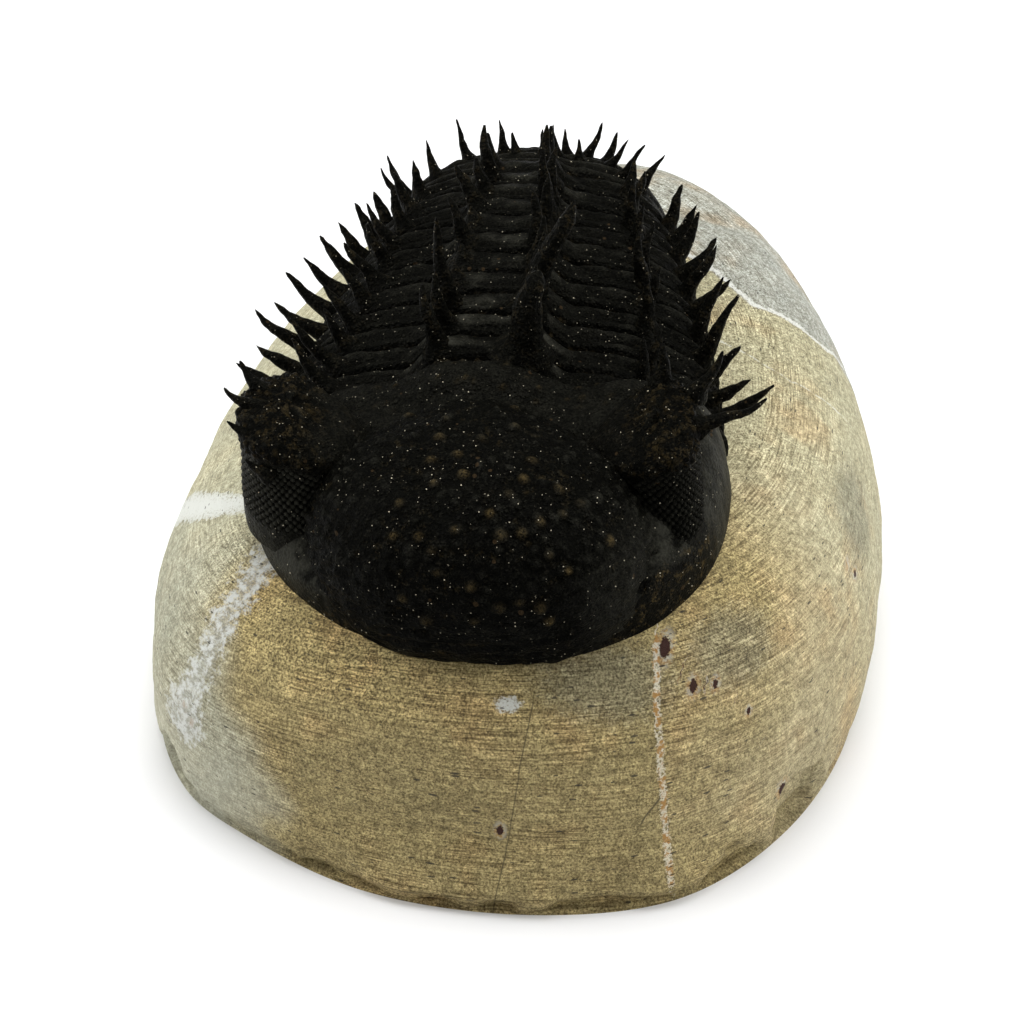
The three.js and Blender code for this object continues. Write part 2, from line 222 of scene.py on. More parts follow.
# Outlines in plan, at the belly and at the base
BELLY = np.array(
    [
        (54.5, -12), (51.5, 14), (43.5, 38), (32.5, 60), (12.5, 78), (-12.5, 76),
        (-33.5, 60), (-45.5, 36), (-52.5, 8), (-54.5, -18), (-53.5, -40), (-47.5, -57),
        (-34.5, -68), (-14.5, -74), (9.5, -75), (29.5, -69), (44.5, -55), (52.5, -36),
    ]
)  # fmt: skip
BASE = np.array(
    [
        (51.5, -12), (48.5, 12), (40.5, 35), (29.5, 55), (11.5, 73), (-11.5, 71),
        (-30.5, 56), (-42.5, 34), (-49.5, 8), (-51.5, -18), (-52.5, -44), (-44.5, -61),
        (-33.5, -69), (-14.5, -77), (9.5, -78), (29.5, -72), (43.5, -57), (51.5, -36),
    ]
)  # fmt: skip
COURSE_RADIUS = 8  # of the circle on which the scratches' pattern runs round the block
# Chips broken from the block: (middle, reach, how deep)
CHIPS = [
    ((46, -55.5, 4), 7, 2.2),
    ((52.5, -50, 9), 5, 1.3),
    ((-47, -58, 2), 6, 2.4),
    ((52.5, 22, 30), 4.5, 1.8),
    ((-20, -76, 1), 7, 0.9),
    ((18, -76, 0.5), 9, 1.0),
    ((36, -66, 1), 6, 1.5),
    ((-54, -30, 2), 7, 1.0),
]


def closed_curve(knots, share):
    """A centripetal Catmull-Rom curve through a closed list of knots, at shares of the way round."""
    whole = share * len(knots)
    start = np.floor(whole).astype(int)
    t = (whole - start)[:, None]
    p0, p1, p2, p3 = (knots[(start + step) % len(knots)] for step in (-1, 0, 1, 2))
    pairs = ((p0, p1), (p1, p2), (p2, p3))
    d0, d1, d2 = (np.sum((b - a) ** 2, axis=1, keepdims=True) ** 0.25 for a, b in pairs)
    leave = ((p1 - p0) / d0 - (p2 - p0) / (d0 + d1) + (p2 - p1) / d1) * d1
    reach = ((p2 - p1) / d1 - (p3 - p1) / (d1 + d2) + (p3 - p2) / d2) * d1
    square, cube = 3 * (p2 - p1) - 2 * leave - reach, 2 * (p1 - p2) + leave + reach
    return p1 + leave * t + square * t**2 + cube * t**3


def stone_top(x, y):
    """Height of the ground surface: the animal's sole, bent down in an arc to the tail and leaning."""
    covered = np.minimum(y - HEAD_REAR_Y, THORAX_LENGTH + TAIL_LENGTH)
    bend = np.maximum(0, covered - FLAT_LENGTH) / BEND_RADIUS
    return SOLE_HEIGHT - BEND_RADIUS * (1 - np.sqrt(1 - bend**2)) + (x - BODY_X) * math.tan(ROLL)


def stone_rings(columns, flank_rows, top_rows):
    """Rings of the block from the middle of its base out to the rim, up the flank and in over the top.

    Above the belly a ring is the belly curve times a share, at the height of a superellipse in that share.
    The shares are spaced evenly along the superellipse's own length.
    """
    share = np.arange(columns) / columns
    belly, base = closed_curve(BELLY, share), closed_curve(BASE, share)
    rings = [np.column_stack([base * scale, np.zeros(columns)]) for scale in BASE_SHARES]
    for height in np.linspace(0, RIM_HEIGHT, RIM_ROWS + 1)[1:]:
        widening = 1 + RIM_WIDENING * height / RIM_HEIGHT
        rings.append(np.column_stack([base * widening, np.full(columns, height)]))
    for t in np.linspace(0, 1, flank_rows)[1:-1]:
        plan = base * (1 + RIM_WIDENING) * (1 - t) + belly * t
        rings.append(np.column_stack([plan, np.full(columns, RIM_HEIGHT + (BELLY_HEIGHT - RIM_HEIGHT) * t)]))
    turn = np.linspace(0, math.pi / 2, 4000)
    inward = np.cos(turn) ** 0.36
    upward = (1 - inward**5) ** TOP_ROUNDNESS
    length = running_length(np.hypot(np.diff(inward) * TOP_REACH, np.diff(upward) * TOP_RISE))
    covered = np.interp(CROWN_SHARE, inward[::-1], length[::-1])
    crown = np.linspace(covered, length[-1] * CROWN_END, CROWN_ROWS)[1:]
    stops = np.concatenate([np.linspace(0, covered, top_rows), crown])
    angle = np.arctan2(belly[:, 1], belly[:, 0])
    squareness = 3.6 + 4 * np.sin(angle) ** 2
    for stop in stops:
        scale = np.interp(stop, length, inward)
        x, y = (belly * scale).T
        rounded = (1 - scale**squareness) ** TOP_ROUNDNESS
        height = BELLY_HEIGHT + (stone_top(x, y) - BELLY_HEIGHT) * rounded
        rings.append(np.column_stack([x, y, height]))
    return np.array(rings)


LINE_DEPTH = 12  # how far from its points, along its cut, a line in the stone still shows
# Lines in the stone: (points along each, the direction in which it cuts into the stone)
HAIR_CRACK = ([(7.8, -68.8, 31.8), (6.2, -73.8, 19.8), (4.6, -77.8, 6.1), (3.6, -79.2, 0)], (0, 1, 0))
CORNER_CRACK = (
    [(33.5, -46.5, 39), (38.4, -53.8, 31.6), (43.9, -52.3, 23.3), (45.5, -51.7, 16.6), (49.5, -50, 9)],
    (0.55, -0.75, 0.37),
)
SIDE_BRANCH = ([(25.6, -70, 17.9), (23.4, -71.4, 14.4)], (0, 1, 0))
CRYSTAL_VEIN = ([(23.5, -61, 37), (24.5, -66.6, 29), (26.4, -69.6, 15.8), (27.9, -73, 4)], (0, 1, 0))
CAP_VEIN = (
    [
        (12, 36, 38.5), (17.6, 31.3, 39.5), (31.4, 15.5, 40.3), (38.2, 15.6, 37.2), (43.1, 14.7, 33.1),
        (49, 20, 22),
    ],  # fmt: skip
    (0.3, 0, 0.95),
)
SECOND_VEIN = ([(22, 6, 42.5), (28.7, 3, 41.5), (38.1, -1.2, 38.8), (45.8, -0.8, 33)], (0.3, 0, 0.95))
PALE_VEIN = (
    [(-31.5, -45, 37.4), (-36.2, -55.3, 31.4), (-39.4, -59.5, 25.4), (-43.5, -61.2, 15)],
    (-0.45, -0.8, 0.4),
)
WHITE_BAND = (
    [(-53.5, -17, 2), (-52, -24.5, 21), (-46, -31.5, 29), (-42, -34.6, 32.3), (-34, -38.5, 36.5)],
    (-0.6, 0, 0.8),
)
# Pits in the stone: (middle, half-width)
PITS = [
    ((24.7, -60.2, 36.6), 1.1),
    ((28.9, -62.3, 32.1), 0.8),
    ((31.8, -60.7, 31.5), 0.62),
    ((36.6, -60, 26.2), 0.45),
    ((42.3, -58.4, 9.8), 0.8),
    ((4.3, -75, 13.6), 0.75),
    ((-41.9, -61.2, 15.4), 0.6),
    ((-43.2, -60.4, 17.2), 0.35),
    ((-39, -59.2, 24.6), 0.4),
    ((-40.6, -59.8, 21.6), 0.35),
    ((48.4, -32, 29.9), 0.55),
    ((49.8, -31.2, 27.6), 0.5),
]
# Spots on the stone: (middle, reach in each direction)
BLOTCHES = [((33, -56, 34), (7, 7, 4.5)), ((17, -64, 33), (10, 6, 5)), ((49, -20, 30), (4, 9, 6))]
WHITE_SPOT = [((4.6, -68.9, 31.8), (1.9, 1.8, 0.9))]
# The front of the head in plan, where the stone beside it is scarred: (middle, half-widths)
HEAD_FRONT = ((-0.5, -46), (37, 23))


def line_offset(points, line):
    """Distance in millimetres to a line, as seen along its cut, and below zero on one side of it.

    It grows past the ends of the line and on the far faces of the block.
    """
    stops, depth = np.array(line[0], float), np.array(line[1], float)
    depth /= np.linalg.norm(depth)
    nearest = np.full(points.shape[:-1], 1e3)
    signed = nearest.copy()
    for start, end in zip(stops[:-1], stops[1:]):
        run = end - start
        sinks = run @ depth
        run = run - sinks * depth
        length = np.linalg.norm(run)
        run /= length
        away = points - start
        along = away @ run
        offset = away @ np.cross(depth, run)
        beyond = np.maximum(np.maximum(-along, along - length), 0)
        buried = np.abs(away @ depth - sinks * np.clip(along / length, 0, 1))
        distance = np.hypot(offset, beyond) + np.maximum(0, buried - LINE_DEPTH)
        closer = distance < nearest
        nearest = np.where(closer, distance, nearest)
        signed = np.where(closer, np.copysign(distance, offset), signed)
    return signed


def nearest_spot(points, spots):
    """Offset from the nearest ellipsoid, as a share of its reach: its length is 1 on the ellipsoid."""
    best = np.full(points.shape, 1e3)
    for middle, reach in spots:
        offset = (points - np.array(middle)) / np.array(reach)
        closer = np.linalg.norm(offset, axis=-1) < np.linalg.norm(best, axis=-1)
        best = np.where(closer[..., None], offset, best)
    return best


def stone_marks(points):
    """What the stone's material needs to know of each point: how far it is from each mark.

    Zones, bands and blotches are above zero inside and below it outside, cracks and veins are distances, and
    a pit's vector has the length 1 at its edge.
    """
    wander = 0.5 * grain(points, 5, 51) + 0.2 * grain(points, 1.7, 52)
    x, y, z = np.moveaxis(points, -1, 0)
    drift = 7 * grain(points, 18, 53) + 2.5 * grain(points, 6, 54)
    uneven = grain(points, 10, 57) + 0.7 * grain(points, 4.6, 58) + 0.5 * grain(points, 2.1, 59)
    patches = 0.5 + 0.11 * uneven
    pale = 2.0 + 1.6 * smooth(-z, -24, -15) - np.abs(line_offset(points, PALE_VEIN) + 2 * wander)
    white = 1.7 + 1.1 * smooth(-x, 38, 47) - np.abs(line_offset(points, WHITE_BAND) + wander)
    blotch = 1 - np.linalg.norm(nearest_spot(points, BLOTCHES), axis=-1)
    cap = np.maximum(y - 15 - 1.15 * np.maximum(31 - x, 0) + wander, -5)
    left = -x - 35.5 + 8 * (1 - smooth(z, 8, 24)) + drift
    upper = y + 34 + drift
    right = x - 37 + drift
    reach = [(middle, (0.7 * half, 1.6 * half, 1.25 * half)) for middle, half in PITS]
    (lip_x, lip_y), (lip_half_x, lip_half_y) = HEAD_FRONT
    out = np.hypot((x - lip_x) / lip_half_x, (y - lip_y) / lip_half_y)
    chatter = (1 - smooth(out, 1.0, 1.24)) * smooth(z, 24, 29) * smooth(-y, 34, 42)
    chatter *= 0.3 + 0.7 * smooth(-x, 0, 16)
    spot = 1 - np.linalg.norm(nearest_spot(points, WHITE_SPOT), axis=-1)
    white = np.maximum(white, 2 * spot)
    return {
        "cracks": together(
            line_offset(points, HAIR_CRACK) + 0.35 * wander,
            line_offset(points, CORNER_CRACK) + wander,
            line_offset(points, SIDE_BRANCH) + 0.5 * wander,
        ),
        "veins": together(
            line_offset(points, CRYSTAL_VEIN) + 0.7 * wander,
            line_offset(points, CAP_VEIN) + wander,
            line_offset(points, SECOND_VEIN) + wander,
        ),
        "bands": together(pale, white, blotch),
        "zones": together(left, right, cap),
        "wear": together(patches, chatter, upper),
        "pit": nearest_spot(points, reach),
    }


def stone_block(columns, flank_rows, top_rows):
    """The block: its rings, worn by broad and fine relief, chipped at the rim and at a few places.

    The course of its scratches is a circle round the block, which rises by the length of its flank.
    """
    rings = stone_rings(columns, flank_rows, top_rows)
    normal = outwards_of(rings, BLOCK_MIDDLE)
    height = rings[..., 2]
    worn = 0.35 * grain(rings, 11, 1) + 0.12 * grain(rings, 3.2, 2) + 0.05 * grain(rings, 1.1, 3)
    rim = 1 - smooth(height, 1.5, 4.5)
    hollows = [np.maximum(0, grain(rings, size, seed)) for size, seed in ((4.5, 4), (1.6, 5))]
    worn -= rim * (0.3 + 1.3 * hollows[0] + 0.6 * hollows[1])
    for middle, reach, deep in CHIPS:
        away = np.linalg.norm(rings - np.array(middle), axis=-1) / reach
        edge = away + 0.18 * grain(rings, 1.8, 6)
        worn -= deep * (1 - smooth(edge, 0.5, 1.0))
    worn *= smooth(height, 0, 0.4)
    rings = rings + normal * worn[..., None]
    rings[..., 2] = np.maximum(rings[..., 2], 0)
    turn = np.arange(columns) / columns * 2 * math.pi
    climb = running_length(np.linalg.norm(np.diff(rings, axis=0), axis=-1).mean(axis=1))
    course = together(COURSE_RADIUS * np.cos(turn), COURSE_RADIUS * np.sin(turn), climb[:, None])
    skins = Skins("course", "cracks", "veins", "bands", "zones", "wear", "pit")
    skins.add(rings, course=course, **stone_marks(rings))
    return skins


# The armour


def armour(x, w, h, axis_half, axis_rise):
    """Height of a plate over the sole: a superellipse over its width, with the axis as a plateau on it."""
    out = np.minimum(1, np.abs(x) / w)
    plateau = 1 - smooth(np.abs(x) / axis_half, 0.4, 1.05)
    return h * (1 - out**3) ** 0.55 + axis_rise * plateau


def trunk(s):
    """Half-width, height, half-width of the axis and its rise at s, over the thorax and the tail."""
    t = np.clip(s / THORAX_LENGTH, 0, 1)
    tail = np.clip((s - THORAX_LENGTH) / TAIL_LENGTH, 0, 1)
    closing = np.sqrt(1 - tail**3)
    return (
        (34 - 11 * t**1.2) * closing,
        (12.5 + 1.5 * t) * closing,
        (12.2 - 3.7 * t) * (1 - 0.5 * tail),
        (5.8 - t - 3.3 * t**3) * (1 - 0.8 * tail),
    )


def across(columns):
    """Shares of the half-width from -1 to 1, closer together towards both ends."""
    u = np.linspace(-1, 1, columns)
    return 0.45 * u + 0.55 * np.sin(u * math.pi / 2)


# The underside of a plate: (share of its half-width, share of the roots' depth, share of its last side)
UNDERSIDE = np.array(
    [(0.985, 0.4, 1), (0.97, 1, 1), (0.4, 1, 0.5), (-0.4, 1, 0.5), (-0.97, 1, 0), (-0.985, 0.4, 0)]
)


def add_plate(skins, x, s, h, paint):
    """Adds a plate by its top, each row closed into a loop: down one side, back under it and up the other."""
    edge = np.abs(x).max(axis=1, keepdims=True)
    across_share, deep, last = UNDERSIDE.T[:, None, :]
    loops = place(
        np.hstack([x, across_share * edge]),
        np.hstack([s, s[:, [-1]] * last + s[:, [0]] * (1 - last)]),
        np.hstack([h, deep * -ROOT_DEPTH * np.ones_like(edge)]),
    )
    skins.add(loops, paint=np.hstack([paint, np.repeat(paint[:, -1:], len(UNDERSIDE), axis=1)]))


# Columns and rows of the grids
SEGMENT_GRID = (200, 34)
TAIL_GRID = (160, 90)
SPINE_ROUND = 12  # points round a spine
SPINE_STEPS = 18  # rings along a spine
SPINE_BOW = 0.08  # how far a spine is bowed, as a share of its length


def spine(skins, root, tip, radius, seed, blunt):
    """A spine: circles that shrink along a bowed line from root to tip, flared at the root.

    It is grooved and knotted, and a blunt one keeps that share of its radius nearly to its tip.
    """
    axis = tip - root
    length = np.linalg.norm(axis)
    side = np.cross((0.0, 1.0, 0.0), axis)
    side /= np.linalg.norm(side)
    front = np.cross(axis, side) / length
    t = np.linspace(0, 1, SPINE_STEPS)[:, None] ** 0.85
    angle = np.linspace(0, 2 * math.pi, SPINE_ROUND, endpoint=False)[None, :]
    centre = root + axis * t - front * SPINE_BOW * length * 4 * t * (1 - t)
    sway = side * np.sin(t * 5 + seed) + front * np.cos(t * 4 + seed * 2)
    centre = centre + sway * 0.03 * length * t * (1 - t) * 4
    taper = (0.93 - blunt) * (1 - t**1.1) ** 0.7 + 0.07 + blunt * np.sqrt(1 - 0.97 * t**12)
    flare = 0.75 * np.exp(-((t * length / 1.7) ** 2))
    r = radius * (taper + flare) * (1 + 0.1 * np.cos(3 * angle + 3 * t + seed) * (1 - t))
    ring = np.cos(angle)[..., None] * side + np.sin(angle)[..., None] * front
    points = centre[:, None, :] + ring * r[..., None]
    points = points + ring * (0.12 * radius * grain(points, 0.9, seed))[..., None]
    skins.add(points, paint=together(0 * angle, 0.1, 0.1 + 0.3 * t))


def standing_spine(skins, x, s, h, size, radius, seed, blunt=0.0):
    """A spine that stands at (x, s, h): size is its length and its lean outwards and backwards in degrees."""
    length, out, back = size
    lean = math.tan(out * DEGREE) * np.sign(x)
    rake = math.tan(back * DEGREE)
    rise = length / math.sqrt(1 + lean**2 + rake**2)
    root, tip = place(x - lean, s - rake, h - 1), place(x + lean * rise, s + rake * rise, h + rise)
    spine(skins, root, tip, radius, seed, blunt)


def trunk_spine(skins, x, s, size, radius, seed, blunt=0.0):
    """A standing spine whose foot is on the plain dome of the thorax or of the tail."""
    standing_spine(skins, x, s, armour(x, *trunk(s)), size, radius, seed, blunt)


AXIAL_SHARE = 0.5  # where the axial rows of spines stand, as a share of the axis's half-width
SPINE_ROW_SHARE = 0.6  # where a segment's spines stand along it, as a share of its length
# Rows of spines along the thorax: the side or the share of the plate's half-width at which they stand, their
# radius, and for each segment from the head to the tail the length, the lean outwards and the lean backwards
AXIAL_ROWS = [
    (-1, 1.55, [
        (10, 8, 4), (9, 3, 0), (14, 4, 4), (3, 8, 5), (3, 5, 5), (8, 18, 4), (3, 8, 5), (8, 25, 5),
        (6, 10, 5), (9, 2, 6), (6, 8, 8),
    ]),
    (1, 1.5, [
        (13, 14, 0), (10, 12, 4), (18, 24, 6), (9, 14, 4), (8, 12, 4), (9, -2, 4), (8, 12, 6), (10, 4, 5),
        (8, 16, 6), (9, 2, 6), (7, 4, 8),
    ]),
]  # fmt: skip
SIDE_ROWS = [
    (-0.68, 1.35, [
        (9, 30, 8), (10, 38, 4), (7, 24, 0), (8, 36, 5), (7, 28, 0), (8, 34, 5), (7, 20, 5), (8, 30, 6),
        (7, 12, 5), (7, 24, 8), (6, 12, 8),
    ]),
    (0.68, 1.35, [
        (9, 0, 4), (7, 20, 5), (3, 10, 5), (9, 4, 4), (7, 24, 5), (9, 0, 4), (7, 22, 5), (7, 12, 5),
        (8, 2, 6), (7, 22, 8), (6, 14, 8),
    ]),
    (-0.92, 1.45, [
        (6, 50, 0), (9, 54, 0), (8, 50, -4), (11, 46, 0), (9, 52, -4), (10, 44, 0), (9, 42, -2), (9, 36, 0),
        (8, 32, 0), (8, 26, 4), (7, 20, 6),
    ]),
    (0.92, 1.45, [
        (12, 56, -4), (8, 60, -8), (8, 46, 0), (12, 30, 4), (11, 24, 2), (9, 44, 0), (10, 30, 4), (9, 40, 4),
        (9, 26, 6), (8, 34, 8), (8, 22, 8),
    ]),
]  # fmt: skip
# Radius of the broken large spines of the right axial row, by segment
BROKEN_ROW = 1
BROKEN_SPINES = {0: 2.8, 2: 2.0}
BROKEN_BLUNTNESS = 0.3


def segment_relief(x, v, axis_half):
    """Relief of a segment over its plain dome, v from its front edge to its rear edge.

    The front edge tucks under the plate before it. On the axis the ring swells to its rear, the flanks of the
    axis are rounded ribs, and over the pleura a furrow parts a low front band from a higher rear band.
    """
    out = np.abs(x) / axis_half
    on_axis = 1 - smooth(out, 0.9, 1.15)
    flank = swell(out, 0.78, 0.34)
    tuck = -1.7 * (1 - smooth(v, 0, 0.17))
    back = -0.9 * smooth(v, 0.93, 1)
    ring = 0.5 * np.sin(math.pi * np.clip((v - 0.12) / 0.88, 0, 1)) - 0.25 * swell(v, 0.3, 0.12)
    rib = -1.1 * (1 - np.sin(math.pi * np.clip((v - 0.05) / 0.95, 0, 1)) ** 0.6)
    furrow = 0.44 + 0.1 * smooth(out, 1.2, 2.6)
    pleura = 0.12 * swell(v, 0.24, 0.14) - 0.35 * swell(v, furrow, 0.12) + 0.4 * swell(v, 0.8, 0.2)
    return tuck + back + on_axis * ring + flank * rib + (1 - on_axis) * pleura


def thorax_segment(index, columns, rows):
    """One segment: its dome with the relief of its bands, rounded free ends, and its three pairs of spines.

    At the free ends the relief turns from upwards to sideways.
    """
    pitch = THORAX_LENGTH / SEGMENTS
    start = index * pitch + SEAM / 2
    length = pitch - SEAM
    w, h, axis_half, axis_rise = trunk(start)
    share = across(columns)[None, :]
    v = np.linspace(0, 1, rows)[:, None]
    v = 0.5 * v + 0.5 * smooth(v, 0, 1)
    x = w * share * np.ones_like(v)
    free = smooth(np.abs(share), 0.86, 1.0)
    s = start + length * (v * (1 - 0.35 * free) + 0.12 * free) + 0 * x
    dome = armour(x, w, h, axis_half, axis_rise)
    plain = place(x, s, dome)
    lift = segment_relief(x, v, axis_half) * (0.85 + 0.5 * grain(plain, 5, 13))
    s = s + (0.3 * grain(plain, 3.6, 20 + index) + 0.16 * grain(plain, 1.2, 14)) * smooth(v, 0.5, 1)
    uneven = 0.26 * grain(plain, 2.8, 11) + 0.17 * grain(plain, 1.1, 12)
    sideways = np.sign(x) * smooth(np.abs(share), 0.75, 1)
    top = dome + (lift + uneven) * (1 - 0.7 * np.abs(sideways))
    x = x + sideways * (lift + uneven)
    # Raised bands are lightened, most on the axis of the first two segments: partly polish, partly painted
    # highlight
    worn = smooth(lift + 1.6 * uneven, 0.05, 0.75)
    on_axis = 1 - smooth(np.abs(x) / axis_half, 0.6, 1.1)
    polish_and_highlight = 0.4 + (0.2 if index > 1 else 0.6) * on_axis
    bare_and_highlight = 0.06 + polish_and_highlight * worn * (0.7 + 0.5 * grain(plain, 2.2, 61))
    skins = Skins("paint")
    add_plate(skins, x, s, top, together(0.0, bare_and_highlight, smooth(-lift, 0.3, 1.2) * 0.6))
    feet = [(side * AXIAL_SHARE * axis_half, radius, row) for side, radius, row in AXIAL_ROWS]
    feet += [(share_across * w, radius, row) for share_across, radius, row in SIDE_ROWS]
    at = start + length * SPINE_ROW_SHARE
    for number, (foot, radius, row) in enumerate(feet):
        blunt = 0
        if number == BROKEN_ROW and index in BROKEN_SPINES:
            radius, blunt = BROKEN_SPINES[index], BROKEN_BLUNTNESS
        trunk_spine(skins, foot, at, row[index], radius, index * 7 + number, blunt)
    return skins


TAIL_RIBS = 6
TAIL_END = 0.2  # how far before the trunk's end the tail shield stops, where the trunk closes to nothing
TAIL_CROWDING = 1.4  # power by which the tail's rows crowd towards its end
# Spines of the tail shield: x, how far behind its front edge, size and radius
TAIL_SPINES = [
    (-20.5, 4, (7, 32, 6), 0.9), (-19, 1.5, (8, 26, 6), 1), (-15, 5, (6, 14, 6), 0.9),
    (-10, 9.5, (7, 16, 6), 0.9), (-3.7, 6.5, (5.5, 8, 6), 0.9), (-1.9, 5, (3.5, 6, 6), 0.8),
    (2.6, 5, (4, 2, 6), 0.8), (4.5, 6, (5, -2, 6), 0.9), (6.2, 9, (4.5, -4, 6), 0.8),
    (8.5, 6, (3.5, -2, 6), 0.8), (9.2, 11, (6.5, 24, 6), 0.9), (12.2, 10.5, (5.5, 22, 6), 0.9),
    (13, 7, (5.5, 38, 6), 0.8), (15, 4, (6.5, 40, 6), 0.9), (18, 3, (7, 38, 6), 1),
]  # fmt: skip


def pygidium(columns, rows):
    """The tail shield: the trunk's dome closing to the rear, ribbed across, with a crowd of small spines."""
    start = THORAX_LENGTH + SEAM / 2
    length = TAIL_LENGTH - TAIL_END
    t = np.linspace(0, 1, rows)[:, None]
    s = start + length * (1 - (1 - t) ** TAIL_CROWDING)
    w, h, axis_half, axis_rise = trunk(s)
    x = w * across(columns)[None, :]
    rib = np.sin((s - start) / length * TAIL_RIBS * 2 * math.pi - 1.2 - 1.5 * np.abs(x) / 24)
    s = s + 0 * x
    top = armour(x, w, h, axis_half, axis_rise)
    spot = place(x, s, top)
    lift = 0.3 * rib * (1 - smooth(t, 0.75, 1)) - 1.4 * (1 - smooth(t, 0, 0.05))
    lift = lift + 0.28 * grain(spot, 2.4, 31) + 0.14 * grain(spot, 1.1, 32)
    top = top + lift * smooth(top, 0, 3)
    skins = Skins("paint")
    # Raised ribs are lightened, partly polish and partly painted highlight; dust settles in the hollows
    paint = together(0.0, 0.08 + 0.3 * smooth(lift, 0, 0.4), 0.6 * smooth(-lift, 0.1, 0.8))
    add_plate(skins, x, s, top, paint)
    for seed, (foot, behind, size, radius) in enumerate(TAIL_SPINES):
        trunk_spine(skins, foot, start + behind, size, radius, seed)
    return skins


# The head

GLABELLA_MIDDLE = (0, -21, 4)
EYE_X = 25.8
EYE_S = -13.5
EYE_FOOT = 1.5
EYE_WALL = 15.3  # height of the wall over its foot
EYE_LID = 3.2  # height of the lid over the rim
EYE_HALF_LENGTH = 9.8
EYE_HALF_WIDTH = 8
WALL_RADIUS = 8.9  # by which the turn round the wall becomes a length for the lenses
LENSES_FOOT = 4.6
LENS_FILE = 1.3  # from one file of lenses to the next along the wall
LENS_ROW = 1.2  # from one lens to the next up a file
LENS_RADIUS = 0.43
SHIELD_REACH = 36.6  # how far forward the shield goes under the glabella
# Columns and rows of the grids, and for the eye the rows of its wall and of its lid
SHIELD_GRID = (160, 88)
GLABELLA_GRID = (300, 124)
EYE_GRID = (216, 76, 18)
# Big pale-tipped knobs of the glabella, in body coordinates
BIG_KNOBS = [
    (-4, -20, 19.5), (1.5, -20.5, 19.5), (5.5, -10, 17), (6, -17, 19), (-1.5, -23.5, 19.5), (-5, -24.5, 19),
    (-17, -14, 12.5), (8.5, -24, 19), (-0.5, -27.5, 19), (-4.5, -28.5, 18.5), (7.5, -27.5, 18.5),
    (5.5, -30, 18), (-9, -31, 17), (3, -32.5, 17), (12.5, -31.5, 16), (9.5, -33, 16), (4.5, -35, 15.5),
    (-10, -34.5, 14.5), (-6.5, -35, 15), (-5, -36.5, 14), (7, -34.5, 15.5), (-4.5, -38.5, 11.5),
    (10.5, -36, 13), (13, -36.5, 11), (12, -28, 17.5), (14.5, -29, 16), (0, -39, 10), (3.5, -39.5, 7),
    (6.5, -39.5, 8), (9, -39, 7), (10, -39, 4.5), (-6.5, -39.5, 4.5), (-9.5, -39, 7.5), (0, -40, 5),
    (18, -31.5, 12), (-3.5, -16, 19), (-9, -11, 16), (-1.5, -35, 16),
]  # fmt: skip


def scatter(points, chance, gap, count, seed):
    """Picks points far enough apart: random ones by chance, each kept if none kept is nearer than its gap.

    Gives them and the random generator, for the sizes of what stands on them.
    """
    rng = np.random.default_rng(seed)
    flat = points.reshape(-1, 3)
    kept = np.empty((0, 3))
    for pick in rng.choice(len(flat), count, p=chance.ravel() / chance.sum()):
        if len(kept) == 0 or np.linalg.norm(kept - flat[pick], axis=1).min() > gap:
            kept = np.vstack([kept, flat[pick]])
    return kept, rng


def knobs(points, centres, rng, radius, height, pale=0.3):
    """Relief of round knobs at centres, domes of their own radius and height, and the mask of pale tips."""
    relief = np.zeros(points.shape[:-1])
    tips = np.zeros(points.shape[:-1])
    for centre in centres:
        r = radius * rng.uniform(0.75, 1.25)
        dome = np.clip(1 - np.sum((points - centre) ** 2, axis=-1) / r**2, 0, 1)
        relief = np.maximum(relief, height * rng.uniform(0.7, 1.3) * dome**1.3)
        tips = np.maximum(tips, dome**2 * rng.uniform(0.3, 1) * (rng.uniform() < pale))
    return relief, tips


def glabella_skin(columns, rows):
    """The plain swollen middle of the head, with the turn, the rise and the way outwards at each point.

    A dome, pear-shaped in plan and squarer at the front: rings at a rise from below the lip to the crown. A
    ring's radius falls as a power of the cosine of the rise, and its height grows as a power of the sine.
    """
    turn = np.linspace(0, 2 * math.pi, columns, endpoint=False)[None, :]
    rise = np.radians(np.linspace(-58, 88.5, rows))[:, None]
    square = np.where(np.sin(turn) < 0, 0.84, 1.0)
    backward = np.sign(np.sin(turn)) * np.abs(np.sin(turn)) ** square
    sideways = np.sign(np.cos(turn)) * np.abs(np.cos(turn)) ** square
    narrowing = 1 - 0.34 * smooth(backward, 0, 1)
    r = np.cos(rise) ** 0.8
    reach = np.where(backward > 0, 19.5, 19.0)
    middle_s, middle_h = GLABELLA_MIDDLE[1:]
    s = middle_s + reach * r * backward
    h = middle_h + 15.5 * np.sign(rise) * np.abs(np.sin(rise)) ** 0.9
    base = together(24 * narrowing * r * sideways, s, h)
    return base, outwards_of(base, GLABELLA_MIDDLE), backward, rise


